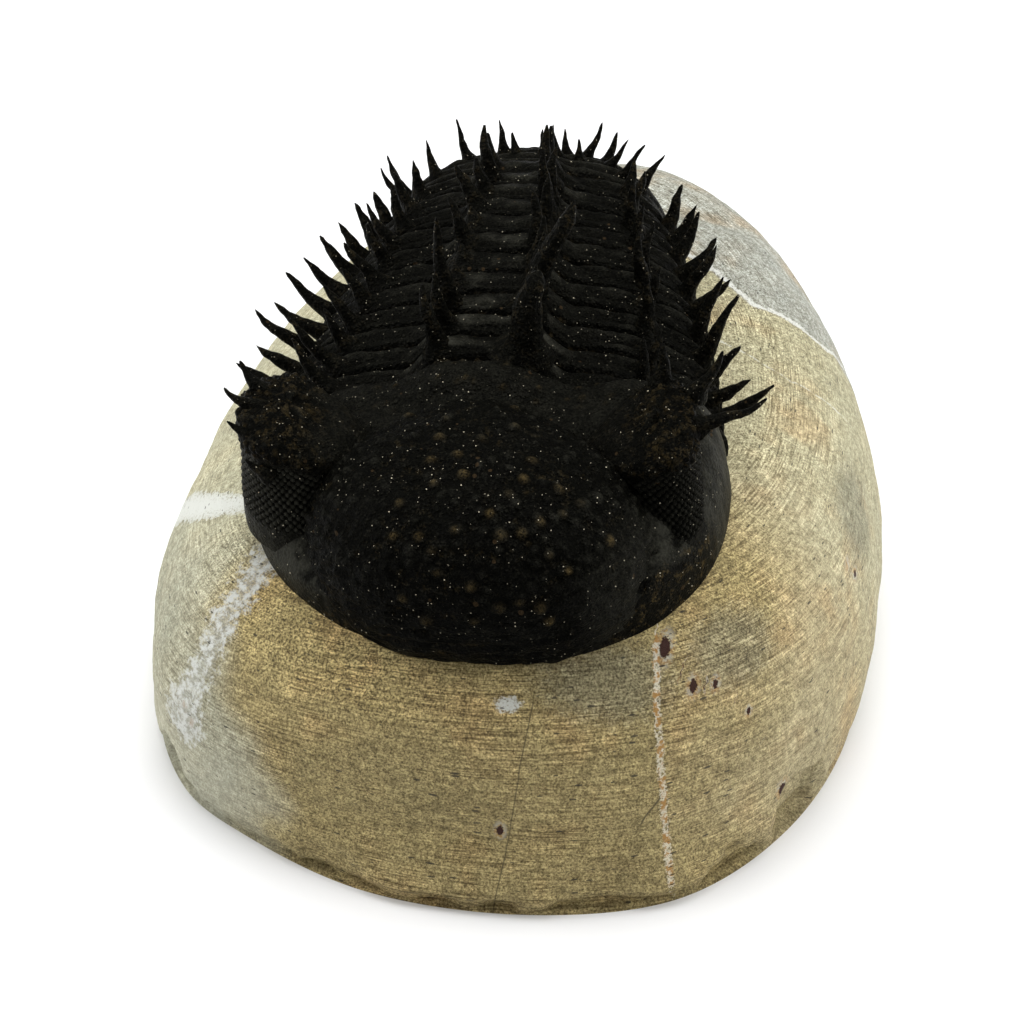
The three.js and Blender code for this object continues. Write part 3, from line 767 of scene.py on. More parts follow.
def glabella(skins, columns, rows, tubercle):
    """The glabella in relief: pale-tipped knobs over its middle, smaller ones crowded low at the front, where
    painted shade keeps them dark.

    Its flanks are wrinkled along the lip, and all of it is lumpy. Raised lumps are lightened as painted
    highlight.
    """
    base, normal, backward, rise = glabella_skin(columns, rows)
    x, s, h = np.moveaxis(base, -1, 0)
    seen = smooth(rise, -15 * DEGREE, 0) * np.ones_like(x)
    low = 1 - smooth(h, 8, 14)
    front = 1 - smooth(s, -32, -16)
    lip = (1 - smooth(h, 4, 10)) * (1 - smooth(backward, -0.2, 0.5))
    relief = np.zeros_like(x)
    tips = np.zeros_like(x)
    flat = base.reshape(-1, 3)
    big = [flat[np.argmin(np.sum((flat - np.array(knob)) ** 2, axis=1))] for knob in BIG_KNOBS]
    sizes = np.random.default_rng(4).uniform((0.75, 0.1), (1.2, 0.75), (len(big), 2))
    for centre, (r, dusty) in zip(big, sizes):
        dome = np.clip(1 - np.sum((base - centre) ** 2, axis=-1) / r**2, 0, 1)
        relief = np.maximum(relief, tubercle * (0.7 + 0.4 * r) * dome**1.1)
        tips = np.maximum(tips, dusty * dome**3)
    area = grid_area(base) * seen
    crowd, rng = scatter(base, area * (0.1 + 1.4 * front * low + 0.35 * front), 1.7, 3500, 5)
    some = knobs(base, crowd, rng, 0.9, tubercle * 0.8)[0]
    granules, rng = scatter(base, area, 1.25, 4500, 6)
    fine = knobs(base, granules, rng, 0.62, tubercle * 0.42)[0]
    relief = np.maximum(relief, np.maximum(some * (1 - 0.6 * lip), fine * (1 - 0.7 * lip)))
    flank = (1 - smooth(h, 7, 14)) * smooth(np.abs(x), 8, 16)
    folds = np.abs(grain(base * np.array([0.3, 0.3, 1.0]), 1.15, 41))
    relief = relief + (0.4 - 0.9 * folds) * np.maximum(lip, 0.8 * flank)
    relief = relief + 0.26 * grain(base, 2.6, 42) + 0.2 * grain(base, 1.3, 48) * seen
    base = base + normal * relief[..., None]
    base[..., 1] = np.minimum(base[..., 1], -2)
    right = smooth(x, 12, 20) * smooth(-s, 18, 26) * low
    # Painted highlight: raised lumps lightened, little low at the front, which stays dark as painted shade;
    # the low right flank is lighter
    raised = smooth(relief + 0.14 * grain(base, 0.9, 60), 0.25, 0.75)
    bare_and_highlight = 0.02 + 0.36 * raised * (1 - 0.75 * low * front) + 0.3 * right
    skins.add(place(*np.moveaxis(base, -1, 0)), paint=together(tips, bare_and_highlight, smooth(-relief, -0.1, 0.3) * 0.4))


def shield_height(x, s, w):
    """Height of the head shield over the sole.

    A dome that falls to the cheeks and to the front, saddles beside the eyes, a shoulder outside the right
    eye, then the raised rear border, and on the axis the neck ring.
    """
    border = smooth(s, -7.2, -5.0)
    h = 11 * np.sqrt(w / HEAD_HALF_WIDTH) * (1 - border) + 12.5 * border
    h = h * (1 - 0.42 * smooth(-s, 18, 32))
    shoulder = smooth(x, 12, 27) * swell(s, -8, 19)
    out = np.minimum(1, np.abs(x) / w)
    plateau = 1 - smooth(np.abs(x) / 13, 0.3, 1.15)
    rise = 1 + 4.3 * smooth(s, -20, -10)
    top = (h + 3.5 * shoulder) * (1 - out ** (3 + 8 * shoulder)) ** 0.55 + rise * plateau
    side = np.abs(x)
    saddle = 3.6 * smooth(s, -18, -9) * swell(side, 17, 11) * (1 - 0.6 * border)
    flow = 2.6 * swell(x, 25, 8) * swell(s, -25, 10)
    groove = -0.5 * swell(s, -6.4, 1.5) * smooth(side, 14, 18)
    roll = 0.45 * np.sin(math.pi * np.clip((s + 5.6) / 5.4, 0, 1)) - 1.0 * smooth(s, -0.8, -0.15)
    return top + saddle + flow + groove + roll


def head_shield(skins, columns, rows):
    """The shield under the glabella and the eyes: a dome over an outline that closes in a curve at the front.

    Its half-width is the square root of one minus a power of the way forward.
    """
    t = np.linspace(0, 1, rows)[:, None]
    s = -SHIELD_REACH + (SHIELD_REACH - SEAM / 2) * (0.75 * t + 0.25 * t**2)
    w = HEAD_HALF_WIDTH * np.sqrt(1 - (-s / (HEAD_LENGTH - 2.5)) ** 2.7)
    w = w - 0.5 * smooth(s, -6, -4)
    share = across(columns)[None, :]
    x = w * share
    s = s + 0 * x
    top = shield_height(x, s, w)
    spot = together(x, s, top)
    cheek = smooth(np.abs(x), 17, 23) * (1 - smooth(s, -9, -6))
    shoulder = smooth(x, 30, 32) * smooth(s, -30, -24)
    rough = smooth(x, 14, 22) * (1 - smooth(top, 2.5, 5.5)) * (1 - smooth(s, -22, -15))
    grainy = smooth(s, -9, -5) * (1 - smooth(np.abs(x), 12, 20) * 0.6)
    centres, rng = scatter(spot, grid_area(spot) * (0.03 + grainy), 1.25, 2500, 8)
    relief, tips = knobs(spot, centres, rng, 0.65, 0.34)
    relief = relief * (grainy + 0.15) + 0.2 * grain(spot, 3, 43) * (1 - 0.5 * cheek)
    relief = relief + 0.07 * grain(spot, 1, 44)
    relief = relief + rough * (0.5 * grain(spot, 1.8, 45) + 0.3 * grain(spot, 0.8, 46))
    streaks = grain(spot * np.array([1, 1, 0.25]), 1.4, 49)
    pits = smooth(grain(spot, 1.5, 50), 0.45, 0.7) * cheek * (1 - shoulder)
    relief = relief + 0.2 * streaks * np.maximum(cheek, shoulder) - 0.35 * pits
    top = top + relief * smooth(top, 0, 2)
    # Grey of the smooth cheeks and shoulder, partly their own and partly painted sheen, less in pits and
    # rough parts
    grey = np.maximum(np.maximum(cheek, shoulder), 0.2) * (1 - 0.8 * rough)
    bare_and_highlight = grey * (1 - 0.8 * pits) * (0.8 + 0.4 * streaks).clip(0.3, 1)
    add_plate(skins, x, s, top, together(tips * grainy * 0.3, bare_and_highlight, rough))


def eye(skins, side, columns, wall_rows, lid_rows):
    """An eye: a turret with a crescent wall of lenses in staggered files, and a lid that slopes inwards.

    Rings are ellipses round the eye's middle. Going up, their size shrinks to the waist of the wall, widens
    to the rim and closes over the lid. The inner side reaches further in and is lower. The right eye is set
    in from the shoulder of the cheek. A lens is a dome round the nearest point of a staggered lattice.
    """
    turn = np.linspace(-180, 180, 2000)
    dense = 1 + 2.2 * smooth(turn, -140, -125) * (1 - smooth(turn, 75, 90))
    steps = running_length((dense[1:] + dense[:-1]) / 2)
    stops = np.linspace(0, steps[-1], columns, endpoint=False)
    degrees = np.interp(stops, steps, turn)[None, :]
    a = degrees * DEGREE
    wall = np.linspace(0, 1, wall_rows)[:, None]
    close = np.linspace(0, 1, lid_rows + 1)[1:, None]
    size = np.concatenate(
        [
            1.09 - 0.17 * smooth(wall, 0, 0.85) + 0.03 * smooth(wall, 0.85, 1),
            0.95 * np.cos(close * math.pi / 2) ** 0.7,
        ]
    )
    lid = EYE_FOOT + EYE_WALL + EYE_LID * np.sin(close * math.pi / 2) ** 0.8
    level = np.concatenate([EYE_FOOT + EYE_WALL * wall, lid])
    inward = np.maximum(0, -np.cos(a))
    outward = np.maximum(0, np.cos(a))
    lowered = 4.2 * inward * np.minimum(1, size + 0.15) * smooth(level, 7, 15)
    set_in = 2.8 * outward * (side > 0)
    half_width = EYE_HALF_WIDTH + 3 * inward * smooth(level, 8, 12) - set_in
    h = level - lowered
    base = together(EYE_X + half_width * size * np.cos(a), EYE_S + EYE_HALF_LENGTH * size * np.sin(a), h)
    normal = outwards_of(base, (EYE_X, EYE_S, 8))
    across_wall = degrees * WALL_RADIUS * DEGREE / LENS_FILE
    up_wall = (h - LENSES_FOOT) / LENS_ROW
    nearest = 9.0
    for shift in (0, 0.5):
        column = np.round(across_wall - shift) + shift
        row = np.round(up_wall - shift) + shift
        away = np.hypot((across_wall - column) * LENS_FILE, (up_wall - row) * LENS_ROW)
        nearest = np.minimum(nearest, away)
    zone = smooth(degrees, -134, -128) * (1 - smooth(degrees, 74, 80)) * smooth(h, 5.0, 5.6)
    zone = zone * (1 - smooth(h + lowered, 15.4, 16.4))
    lens = np.sqrt(np.clip(1 - (nearest / LENS_RADIUS) ** 2, 0, 1)) * zone
    on_lid = smooth(level + 0 * a, 15.8, 17.0)
    outer = on_lid * (1 - 0.85 * smooth(inward, 0.15, 0.8) * smooth(size, 0.3, 0.6))
    centres, rng = scatter(base, grid_area(base) * (outer**2 + 1e-6), 1.1, 3500, 9 + side)
    relief, tips = knobs(base, centres, rng, 0.6, 0.4)
    relief = relief * outer + 0.4 * lens - 0.2 * zone + 0.1 * grain(base, 1.6, 47)
    relief = relief + outer * (0.35 * grain(base, 2.4, 55) + 0.2 * grain(base, 1.1, 56))
    base = base + normal * relief[..., None]
    # Painted highlight: lens tops and lid lumps lightened, dimmer on the right eye; the smooth inner wall is
    # grey
    smooth_side = (1 - outer) * (1 - zone) * 0.5 * (1 - smooth(-degrees, 60, 120) * (1 - on_lid))
    lumps = smooth(relief, 0.2, 0.8) * outer
    dim = 0.4 if side > 0 else 1.0
    raised = np.maximum(0.9 * lens * dim, 0.35 * lumps * dim)
    bare_and_highlight = np.maximum(smooth_side * (1 - 0.7 * on_lid) * dim, raised)
    x, s, h = np.moveaxis(base, -1, 0)
    skins.add(place(side * x, s, h), paint=together(tips * outer * 0.4, bare_and_highlight, 0.5 * outer))


# Spines of the head: x, s, h, size and radius
HEAD_SPINES = [
    (-31, -13, 19, (4.5, 50, 0), 1.1),
    (-30, -9, 19, (5, 30, 4), 1.1),
    (-31, -18, 18, (3.5, 50, -6), 1.0),
    (32, -14, 18, (9, 62, 0), 1.1),
    (31, -8, 19, (7, 30, 6), 1.1),
    (26, -6, 19, (6, 5, 4), 1.2),
    (25, -15, 19, (3, 5, 0), 1),
    (-29, -22, 15, (3, 45, -14), 0.9),
]


def cephalon(tubercle):
    """The head: shield, glabella, both eyes and the spines round them."""
    skins = Skins("paint")
    head_shield(skins, *SHIELD_GRID)
    glabella(skins, *GLABELLA_GRID, tubercle)
    for side in (-1, 1):
        eye(skins, side, *EYE_GRID)
    for number, (x, s, h, size, radius) in enumerate(HEAD_SPINES):
        standing_spine(skins, x, s, h, size, radius, number)
    return skins


# Materials

# Colours of the stone's marks, and of the painted light on its low left flank
RUST = (0.34, 0.225, 0.1, 1)
BLOTCH = (0.155, 0.155, 0.115, 1)
PAINTED_LIGHT_LOW_FLANK = (0.58, 0.57, 0.46, 1)
VEIN_FILM = (0.42, 0.43, 0.4, 1)
VEIN_PALE = (0.6, 0.61, 0.57, 1)
VEIN_PITS = (0.17, 0.16, 0.12, 1)
BAND_WHITE = (0.56, 0.57, 0.52, 1)
CALCITE = (0.62, 0.62, 0.57, 1)
CRYSTALS = ((0.68, 0.64, 0.5, 1), (0.36, 0.2, 0.06, 1))
CRACK = (0.02, 0.016, 0.01, 1)
STAINS = ((0.5, 0.48, 0.4, 1), (0.3, 0.15, 0.045, 1))
PIT = (0.03, 0.007, 0.002, 1)
SPECK = (0.03, 0.026, 0.018, 1)
# Colours of the armour: painted sheen on its grains, sand dust, brown grains and painted glints
PAINTED_SHEEN = (0.0145, 0.014, 0.0105, 1)
SAND = (0.11, 0.075, 0.028, 1)
BROWN_GRAIN = (0.045, 0.029, 0.014, 1)
PAINTED_GLINT = (0.6, 0.54, 0.4, 1)


class Wires:
    """Short ways to set nodes into a tree and join them. A value may be a number, a tuple or a socket."""

    def __init__(self, tree):
        self.tree = tree

    def put(self, socket, value):
        if isinstance(value, bpy.types.NodeSocket):
            self.tree.links.new(value, socket)
        elif value is not None:
            socket.default_value = value

    def node(self, kind, inputs=None, **settings):
        made = self.tree.nodes.new(kind)
        for name, value in settings.items():
            setattr(made, name, value)
        for name, value in (inputs or {}).items():
            self.put(made.inputs[name], value)
        return made

    def maths(self, operation, a, b=None):
        made = self.node("ShaderNodeMath", operation=operation)
        for socket, value in zip(made.inputs, (a, b)):
            self.put(socket, value)
        return made.outputs[0]

    def times(self, a, b):
        return self.maths("MULTIPLY", a, b)

    def plus(self, a, b):
        return self.maths("ADD", a, b)

    def either(self, a, b):
        return self.maths("MAXIMUM", a, b)

    def vector(self, operation, a, scale=None):
        made = self.node("ShaderNodeVectorMath", operation=operation)
        self.put(made.inputs[0], a)
        if scale is not None:
            self.put(made.inputs["Scale"], scale)
        return made.outputs["Value" if operation == "LENGTH" else "Vector"]

    def step(self, value, low, high):
        """Smooth step from 0 at low to 1 at high, where low may be the greater."""
        if low > high:
            return self.maths("SUBTRACT", 1.0, self.step(value, high, low))
        made = self.node("ShaderNodeMapRange", {"Value": value, "From Min": low, "From Max": high})
        made.interpolation_type = "SMOOTHSTEP"
        return made.outputs["Result"]

    def blend(self, factor, a, b, mode="MIX"):
        made = self.node("ShaderNodeMix", data_type="RGBA", blend_type=mode)
        for socket, value in zip((made.inputs[0], made.inputs[6], made.inputs[7]), (factor, a, b)):
            self.put(socket, value)
        return made.outputs[2]

    def noise(self, where, scale, detail, roughness):
        settings = {"Vector": where, "Scale": scale, "Detail": detail, "Roughness": roughness}
        return self.node("ShaderNodeTexNoise", settings).outputs["Fac"]

    def stretched(self, where, scale):
        return self.node("ShaderNodeMapping", {"Vector": where, "Scale": scale}).outputs[0]

    def split(self, where):
        return self.node("ShaderNodeSeparateXYZ", {"Vector": where}).outputs

    def group(self, tree, **inputs):
        made = self.node("ShaderNodeGroup", node_tree=tree)
        for name, value in inputs.items():
            self.put(made.inputs[name.replace("_", " ").capitalize()], value)
        return made.outputs


def new_group(name, inputs, outputs):
    """A shader node group with these sockets. Gives its tree, its wires, what comes in and what goes out."""
    tree = bpy.data.node_groups.new(name, "ShaderNodeTree")
    for socket, kind, default in inputs:
        made = tree.interface.new_socket(socket, in_out="INPUT", socket_type="NodeSocket" + kind)
        if default is not None:
            made.default_value = default
    for socket, kind in outputs:
        tree.interface.new_socket(socket, in_out="OUTPUT", socket_type="NodeSocket" + kind)
    wires = Wires(tree)
    entry = wires.node("NodeGroupInput").outputs
    leave = wires.node("NodeGroupOutput").inputs
    return tree, wires, entry, leave


def specks_group():
    """Scattered specks: a share of the cells of a Voronoi pattern hold a dot of 0.4 to 1.4 times a radius."""
    tree, w, entry, leave = new_group(
        "Scattered specks",
        [
            ("Coordinates", "Vector", None),
            ("Per millimetre", "Float", 1.0),
            ("Radius", "Float", 0.2),
            ("Share", "Float", 0.5),
        ],
        [("Mask", "Float")],
    )
    cells = w.node("ShaderNodeTexVoronoi", {"Vector": entry["Coordinates"], "Scale": entry["Per millimetre"]})
    chance, size = w.split(cells.outputs["Color"])[:2]
    inside = w.maths("LESS_THAN", cells.outputs["Distance"], w.times(entry["Radius"], w.plus(size, 0.4)))
    w.put(leave["Mask"], w.times(inside, w.maths("LESS_THAN", chance, entry["Share"])))
    return tree


def flat_colour(colour):
    return (*colour, 1.0)


def new_material(name):
    """A material. Gives it, its wires, its Principled shader and its Object coordinates in millimetres."""
    material = bpy.data.materials.new(name)
    material.use_nodes = True
    w = Wires(material.node_tree)
    metres = w.node("ShaderNodeTexCoord").outputs["Object"]
    return material, w, material.node_tree.nodes["Principled BSDF"], w.vector("SCALE", metres, scale=1 / MM)


def stone_material(settings, groups):
    """Ground limestone: tan at the front, paler and greyer at the sides, scratched round and speckled, with
    painted light low on the left flank.
    """
    material, w, shader, spot = new_material("Ground limestone")

    def painted(name):
        return w.node("ShaderNodeAttribute", attribute_name=name).outputs["Vector"]

    z = w.split(spot)[2]
    hair, corner, branch = w.split(painted("cracks"))
    crystal, cap_vein, second_vein = w.split(painted("veins"))
    pale, white, blotch = w.split(painted("bands"))
    left, right, cap = w.split(painted("zones"))
    patches, chatter, upper = w.split(painted("wear"))
    mottle = w.noise(spot, 0.85, 3.0, 0.72)
    fine = w.noise(spot, 3.1, 3.0, 0.75)
    scratches = w.noise(w.stretched(painted("course"), (0.9, 0.9, 3.4)), 1.0, 2.0, 0.9)

    def varied(colour, amount, noise, low, high, dark, light):
        """The colour times a tint that goes from dark to light as the noise goes from low to high."""
        return w.blend(amount, colour, w.blend(w.step(noise, low, high), (*dark, 1), (*light, 1)), "MULTIPLY")

    def edged(distance, noise, reach, soft=0.3):
        """Mask of where a painted distance is above zero, its edge moved by the noise by up to reach."""
        moved = w.plus(distance, w.times(w.maths("SUBTRACT", noise, 0.5), 2 * reach))
        return w.step(moved, -soft, soft)

    flank = edged(left, patches, 9, 5.5)
    colour = w.blend(flank, flat_colour(settings.front_colour), flat_colour(settings.left_colour))
    right_flank = edged(right, patches, 8, 9.0)
    colour = w.blend(right_flank, colour, flat_colour(settings.right_colour))
    colour = w.blend(w.times(edged(upper, patches, 8, 12.0), 0.8), colour, flat_colour(settings.upper_colour))
    colour = w.blend(edged(cap, patches, 2.0, 0.8), colour, flat_colour(settings.cap_colour))
    rust = w.times(w.step(patches, 0.5, 0.64), w.step(left, 0, -14))
    colour = w.blend(w.times(rust, 0.4), colour, RUST)
    colour = w.blend(w.times(edged(blotch, mottle, 0.55, 0.4), 0.55), colour, BLOTCH)
    colour = varied(colour, 0.6, patches, 0.32, 0.68, (0.83, 0.85, 0.85), (1.12, 1.07, 1.0))
    smoother = w.either(flank, right_flank)
    contrast = w.maths("SUBTRACT", 1.0, w.times(smoother, 0.4))
    colour = varied(colour, 0.8, mottle, 0.3, 0.7, (0.62, 0.6, 0.53), (1.34, 1.34, 1.34))
    colour = varied(colour, contrast, fine, 0.25, 0.75, (0.18, 0.14, 0.07), (1.58, 1.6, 1.6))
    scratched = w.times(contrast, w.plus(0.35, w.times(w.step(patches, 0.44, 0.56), 0.5)))
    colour = varied(colour, scratched, scratches, 0.25, 0.75, (0.24, 0.2, 0.12), (1.7, 1.74, 1.84))
    colour = varied(colour, w.times(chatter, 0.6), fine, 0.38, 0.56, (0.72, 0.69, 0.62), (1.6, 1.58, 1.5))
    # Painted light: the low part of the left flank, which faces downwards, lightened towards pale
    colour = w.blend(w.times(w.times(flank, w.step(z, 20, 7)), 0.25), colour, PAINTED_LIGHT_LOW_FLANK)

    pale_mask = edged(pale, mottle, 3.5, 1.3)
    colour = w.blend(w.times(pale_mask, 0.45), colour, VEIN_FILM)
    colour = w.blend(w.times(pale_mask, w.step(mottle, 0.42, 0.62)), colour, VEIN_PALE)
    colour = w.blend(w.times(w.times(pale_mask, w.step(fine, 0.42, 0.33)), 0.6), colour, VEIN_PITS)
    white_mask = edged(white, mottle, 1.8)
    white_share = w.step(w.plus(fine, w.times(white, 0.08)), 0.36, 0.6)
    colour = w.blend(w.times(white_mask, white_share), colour, BAND_WHITE)

    def vein(distance, half, noise, reach):
        """Mask of a line of this half-width, its edges moved by the noise by up to reach."""
        return edged(w.maths("SUBTRACT", half, w.maths("ABSOLUTE", distance)), noise, reach, 0.12)

    crystals = w.blend(w.step(mottle, 0.45, 0.6), *CRYSTALS)
    colour = w.blend(w.times(vein(crystal, 0.42, fine, 0.8), w.step(mottle, 0.36, 0.5)), colour, crystals)
    whites = w.either(vein(cap_vein, 0.5, mottle, 1.2), w.times(vein(second_vein, 0.12, mottle, 0.6), 0.6))
    colour = w.blend(w.times(whites, w.step(fine, 0.25, 0.55)), colour, CALCITE)

    cracks = w.either(vein(hair, 0.06, fine, 0.12), vein(corner, 0.0, fine, 0.14))
    cracks = w.either(cracks, vein(branch, 0.1, fine, 0.35))
    colour = w.blend(w.times(cracks, 0.85), colour, CRACK)

    near_pit = w.plus(w.vector("LENGTH", painted("pit")), w.times(w.maths("SUBTRACT", fine, 0.5), 1.2))
    pit = w.step(near_pit, 1.0, 0.85)
    stain = w.blend(w.step(mottle, 0.42, 0.58), *STAINS)
    colour = w.blend(w.times(w.step(near_pit, 2.3, 1.1), 0.55), colour, stain)
    colour = w.blend(pit, colour, PIT)

    drawn_out = w.stretched(painted("course"), (3, 3, 1.6))
    specks = w.group(groups["specks"], coordinates=drawn_out, per_millimetre=1.0, radius=0.17, share=0.3)[0]
    colour = w.blend(w.times(specks, 0.85), colour, SPECK)

    w.put(shader.inputs["Base Color"], colour)
    w.put(shader.inputs["Roughness"], w.plus(0.62, w.times(mottle, 0.25)))
    shader.inputs["Specular IOR Level"].default_value = 0.3
    height = w.plus(w.times(scratches, 1.3), w.times(fine, w.plus(0.6, chatter)))
    height = w.plus(height, w.times(w.step(z, 4.5, 1.5), w.times(fine, 1.6)))
    height = w.maths("SUBTRACT", height, w.times(pit, 2.2))
    bump = w.node("ShaderNodeBump", {"Height": height, "Distance": 0.00022, "Strength": 0.8})
    w.put(shader.inputs["Normal"], bump.outputs[0])
    return material


def shell_material(settings, groups):
    """Calcite armour: almost black, granular, with tan dust on knobs and in hollows, and painted sheen and
    painted glints in its colour.
    """
    material, w, shader, spot = new_material("Black armour")
    tip, bare_and_highlight, hollow = w.split(w.node("ShaderNodeAttribute", attribute_name="paint").outputs["Vector"])
    mottle = w.noise(spot, 0.7, 3.0, 0.7)
    fine = w.noise(spot, 3.4, 2.0, 0.85)
    grains = w.node("ShaderNodeTexVoronoi", {"Vector": spot, "Scale": 1.7}).outputs["Distance"]
    rounded = w.step(grains, 0.75, 0.1)
    # Painted sheen: bright grains lightened in the base colour in place of a glossy highlight
    painted_sheen = w.times(w.step(w.plus(w.times(mottle, 0.45), w.times(fine, 0.55)), 0.48, 0.62), rounded)

    black, grey = flat_colour(settings.shell_colour), flat_colour(settings.bare_and_highlight_colour)
    # The grey of smooth and raised parts is partly their own colour and partly painted sheen and painted
    # highlight
    colour = w.blend(w.times(bare_and_highlight, w.step(mottle, 0.2, 0.6)), black, grey)
    shade = w.blend(w.step(fine, 0.34, 0.66), (0.35, 0.35, 0.35, 1), (2.0, 1.97, 1.85, 1))
    colour = w.blend(w.maths("SUBTRACT", 1.0, w.times(bare_and_highlight, 0.7)), colour, shade, "MULTIPLY")
    colour = w.blend(painted_sheen, colour, PAINTED_SHEEN)
    drifts = w.step(w.plus(w.times(mottle, 0.7), w.times(fine, 0.35)), 0.53, 0.68)
    settled = w.times(w.times(hollow, drifts), 0.5)
    dust = w.either(w.times(tip, w.step(fine, 0.3, 0.58)), settled)
    sandy = w.blend(w.step(fine, 0.4, 0.62), flat_colour(settings.dust_colour), SAND)
    colour = w.blend(w.times(dust, 0.85), colour, sandy)
    brown = w.group(groups["specks"], coordinates=spot, per_millimetre=0.5, radius=0.15, share=0.14)[0]
    colour = w.blend(w.times(brown, 0.6), colour, BROWN_GRAIN)
    # Painted glints: tiny bright dots in the base colour, more where the mottle is high
    painted_glint = w.group(groups["specks"], coordinates=spot, per_millimetre=2.4, radius=0.17, share=0.16)[0]
    colour = w.blend(w.times(painted_glint, w.step(mottle, 0.38, 0.58)), colour, PAINTED_GLINT)
    w.put(shader.inputs["Base Color"], colour)
    w.put(shader.inputs["Roughness"], w.plus(w.plus(0.3, w.times(mottle, 0.25)), w.times(dust, 0.4)))
    shader.inputs["Specular IOR Level"].default_value = 0.02

    rough = w.plus(w.times(rounded, w.step(mottle, 0.3, 0.6)), w.times(fine, 1.1))
    height = w.times(rough, w.maths("SUBTRACT", 1.0, w.times(bare_and_highlight, 0.75)))
    bump = w.node("ShaderNodeBump", {"Height": height, "Distance": 0.0003, "Strength": 1.0})
    w.put(shader.inputs["Normal"], bump.outputs[0])
    return material


def shared_groups():
    """The node groups of both materials, made once."""
    return {"specks": bpy.data.node_groups.get("Scattered specks") or specks_group()}


def armoured(context, skins, name, node):
    """Builds a piece of the armour in its one material, in the place of its CAD node."""
    finish = bpy.data.materials.get("Black armour")
    finish = finish or shell_material(context.scene.fossil_armour, shared_groups())
    dress(skins.build(name, finish), node)


# Settings, operators and panel


def colour_setting(name, description, default):
    return bpy.props.FloatVectorProperty(
        name=name, description=description, subtype="COLOR", size=3, min=0, max=1, default=default
    )


class FossilBlockSettings(bpy.types.PropertyGroup):
    columns: bpy.props.IntProperty(
        name="Columns", description="Points round the block", default=560, min=44, max=600
    )
    flank_rows: bpy.props.IntProperty(
        name="Flank rows", description="Rings from the rim to the belly", default=22, min=4, max=60
    )
    top_rows: bpy.props.IntProperty(
        name="Top rows", description="Rings from the belly in to the animal", default=96, min=12, max=120
    )
    front_colour: colour_setting("Front", "Tan of the front face", (0.345, 0.278, 0.13))
    left_colour: colour_setting("Left", "Grey of the left flank", (0.37, 0.365, 0.275))
    right_colour: colour_setting("Right", "Yellow beige of the right flank", (0.405, 0.35, 0.21))
    upper_colour: colour_setting("Upper", "Pale beige beside the animal", (0.44, 0.42, 0.29))
    cap_colour: colour_setting("Cap", "Bluish grey behind the right vein", (0.37, 0.38, 0.345))


class FossilArmourSettings(bpy.types.PropertyGroup):
    tubercle: bpy.props.FloatProperty(
        name="Tubercles",
        description="Height of a tubercle",
        default=0.00062,
        min=0,
        max=0.0015,
        unit="LENGTH",
    )
    shell_colour: colour_setting("Armour", "Near-black armour", (0.001, 0.001, 0.0006))
    # This grey is partly the smooth armour's own and partly painted sheen
    bare_and_highlight_colour: colour_setting("Bare armour", "Grey of the smooth cheeks and rings", (0.028, 0.0275, 0.0215))
    dust_colour: colour_setting("Dust", "Tan dust on knobs and in hollows", (0.085, 0.062, 0.024))


class FossilStageSettings(bpy.types.PropertyGroup):
    floor_colour: colour_setting("Floor", "Pale floor", (0.86, 0.86, 0.86))
    top_power: bpy.props.FloatProperty(
        name="Top light", description="Power of the softbox above", default=5.2, min=0, unit="POWER"
    )
    side_power: bpy.props.FloatProperty(
        name="Side lights", description="Power of each softbox at the side", default=3.4, min=0, unit="POWER"
    )
    lens: bpy.props.FloatProperty(
        name="Lens", description="Focal length of the camera", default=89.82, min=10, max=300, unit="CAMERA"
    )


class FOSSIL_OT_block(bpy.types.Operator):
    """Builds the ground limestone block"""

    bl_idname = "fossil.block"
    bl_label = "Build the block"

    def execute(self, context):
        settings = context.scene.fossil_block
        skins = stone_block(settings.columns, settings.flank_rows, settings.top_rows)
        piece = skins.build("ground_block", stone_material(settings, shared_groups()))
        dress(piece, "matrix_block")
        return {"FINISHED"}


class FOSSIL_OT_head(bpy.types.Operator):
    """Builds the head with its eyes, tubercles and spines"""

    bl_idname = "fossil.head"
    bl_label = "Build the head"

    def execute(self, context):
        skins = cephalon(context.scene.fossil_armour.tubercle / MM)
        armoured(context, skins, "head_armour", "cephalon")
        return {"FINISHED"}


class FOSSIL_OT_thorax(bpy.types.Operator):
    """Builds the eleven segments of the thorax with their spines"""

    bl_idname = "fossil.thorax"
    bl_label = "Build the thorax"

    def execute(self, context):
        for index in range(SEGMENTS):
            number = f"{index + 1:02d}"
            skins = thorax_segment(index, *SEGMENT_GRID)
            armoured(context, skins, "segment_armour_" + number, "thorax_segment_" + number)
        return {"FINISHED"}


class FOSSIL_OT_tail(bpy.types.Operator):
    """Builds the tail shield with its spines"""

    bl_idname = "fossil.tail"
    bl_label = "Build the tail"

    def execute(self, context):
        armoured(context, pygidium(*TAIL_GRID), "tail_armour", "pygidium")
        return {"FINISHED"}


# The stage, in metres
FLOOR_HALF = 3.0
LIT_POINT = (0, -0.01, 0.04)
TOP_LIGHT = ("top_softbox", (0, 0.16, 0.7), 0.6)
SIDE_LIGHTS = [("left_softbox", (-0.62, -0.02, 0.36), 0.5), ("right_softbox", (0.62, 0.0, 0.36), 0.5)]
CAMERA_PLACE = (0.03941, -0.31339, 0.27262)
CAMERA_AIM = (0.0005, -0.0365, 0.038)


def aimed(name, data, where, aim):
    """Stands a light or a camera at a place, turned to face a point."""
    made = bpy.data.objects.new(name, data)
    made.location = where
    made.rotation_euler = (Vector(aim) - made.location).to_track_quat("-Z", "Y").to_euler()
    bpy.context.scene.collection.objects.link(made)
    return made


def softbox(name, where, size, power):
    """A square area light that faces the fossil."""
    data = bpy.data.lights.new(name, "AREA")
    data.shape, data.size, data.energy = "SQUARE", size, power
    aimed(name, data, where, LIT_POINT)


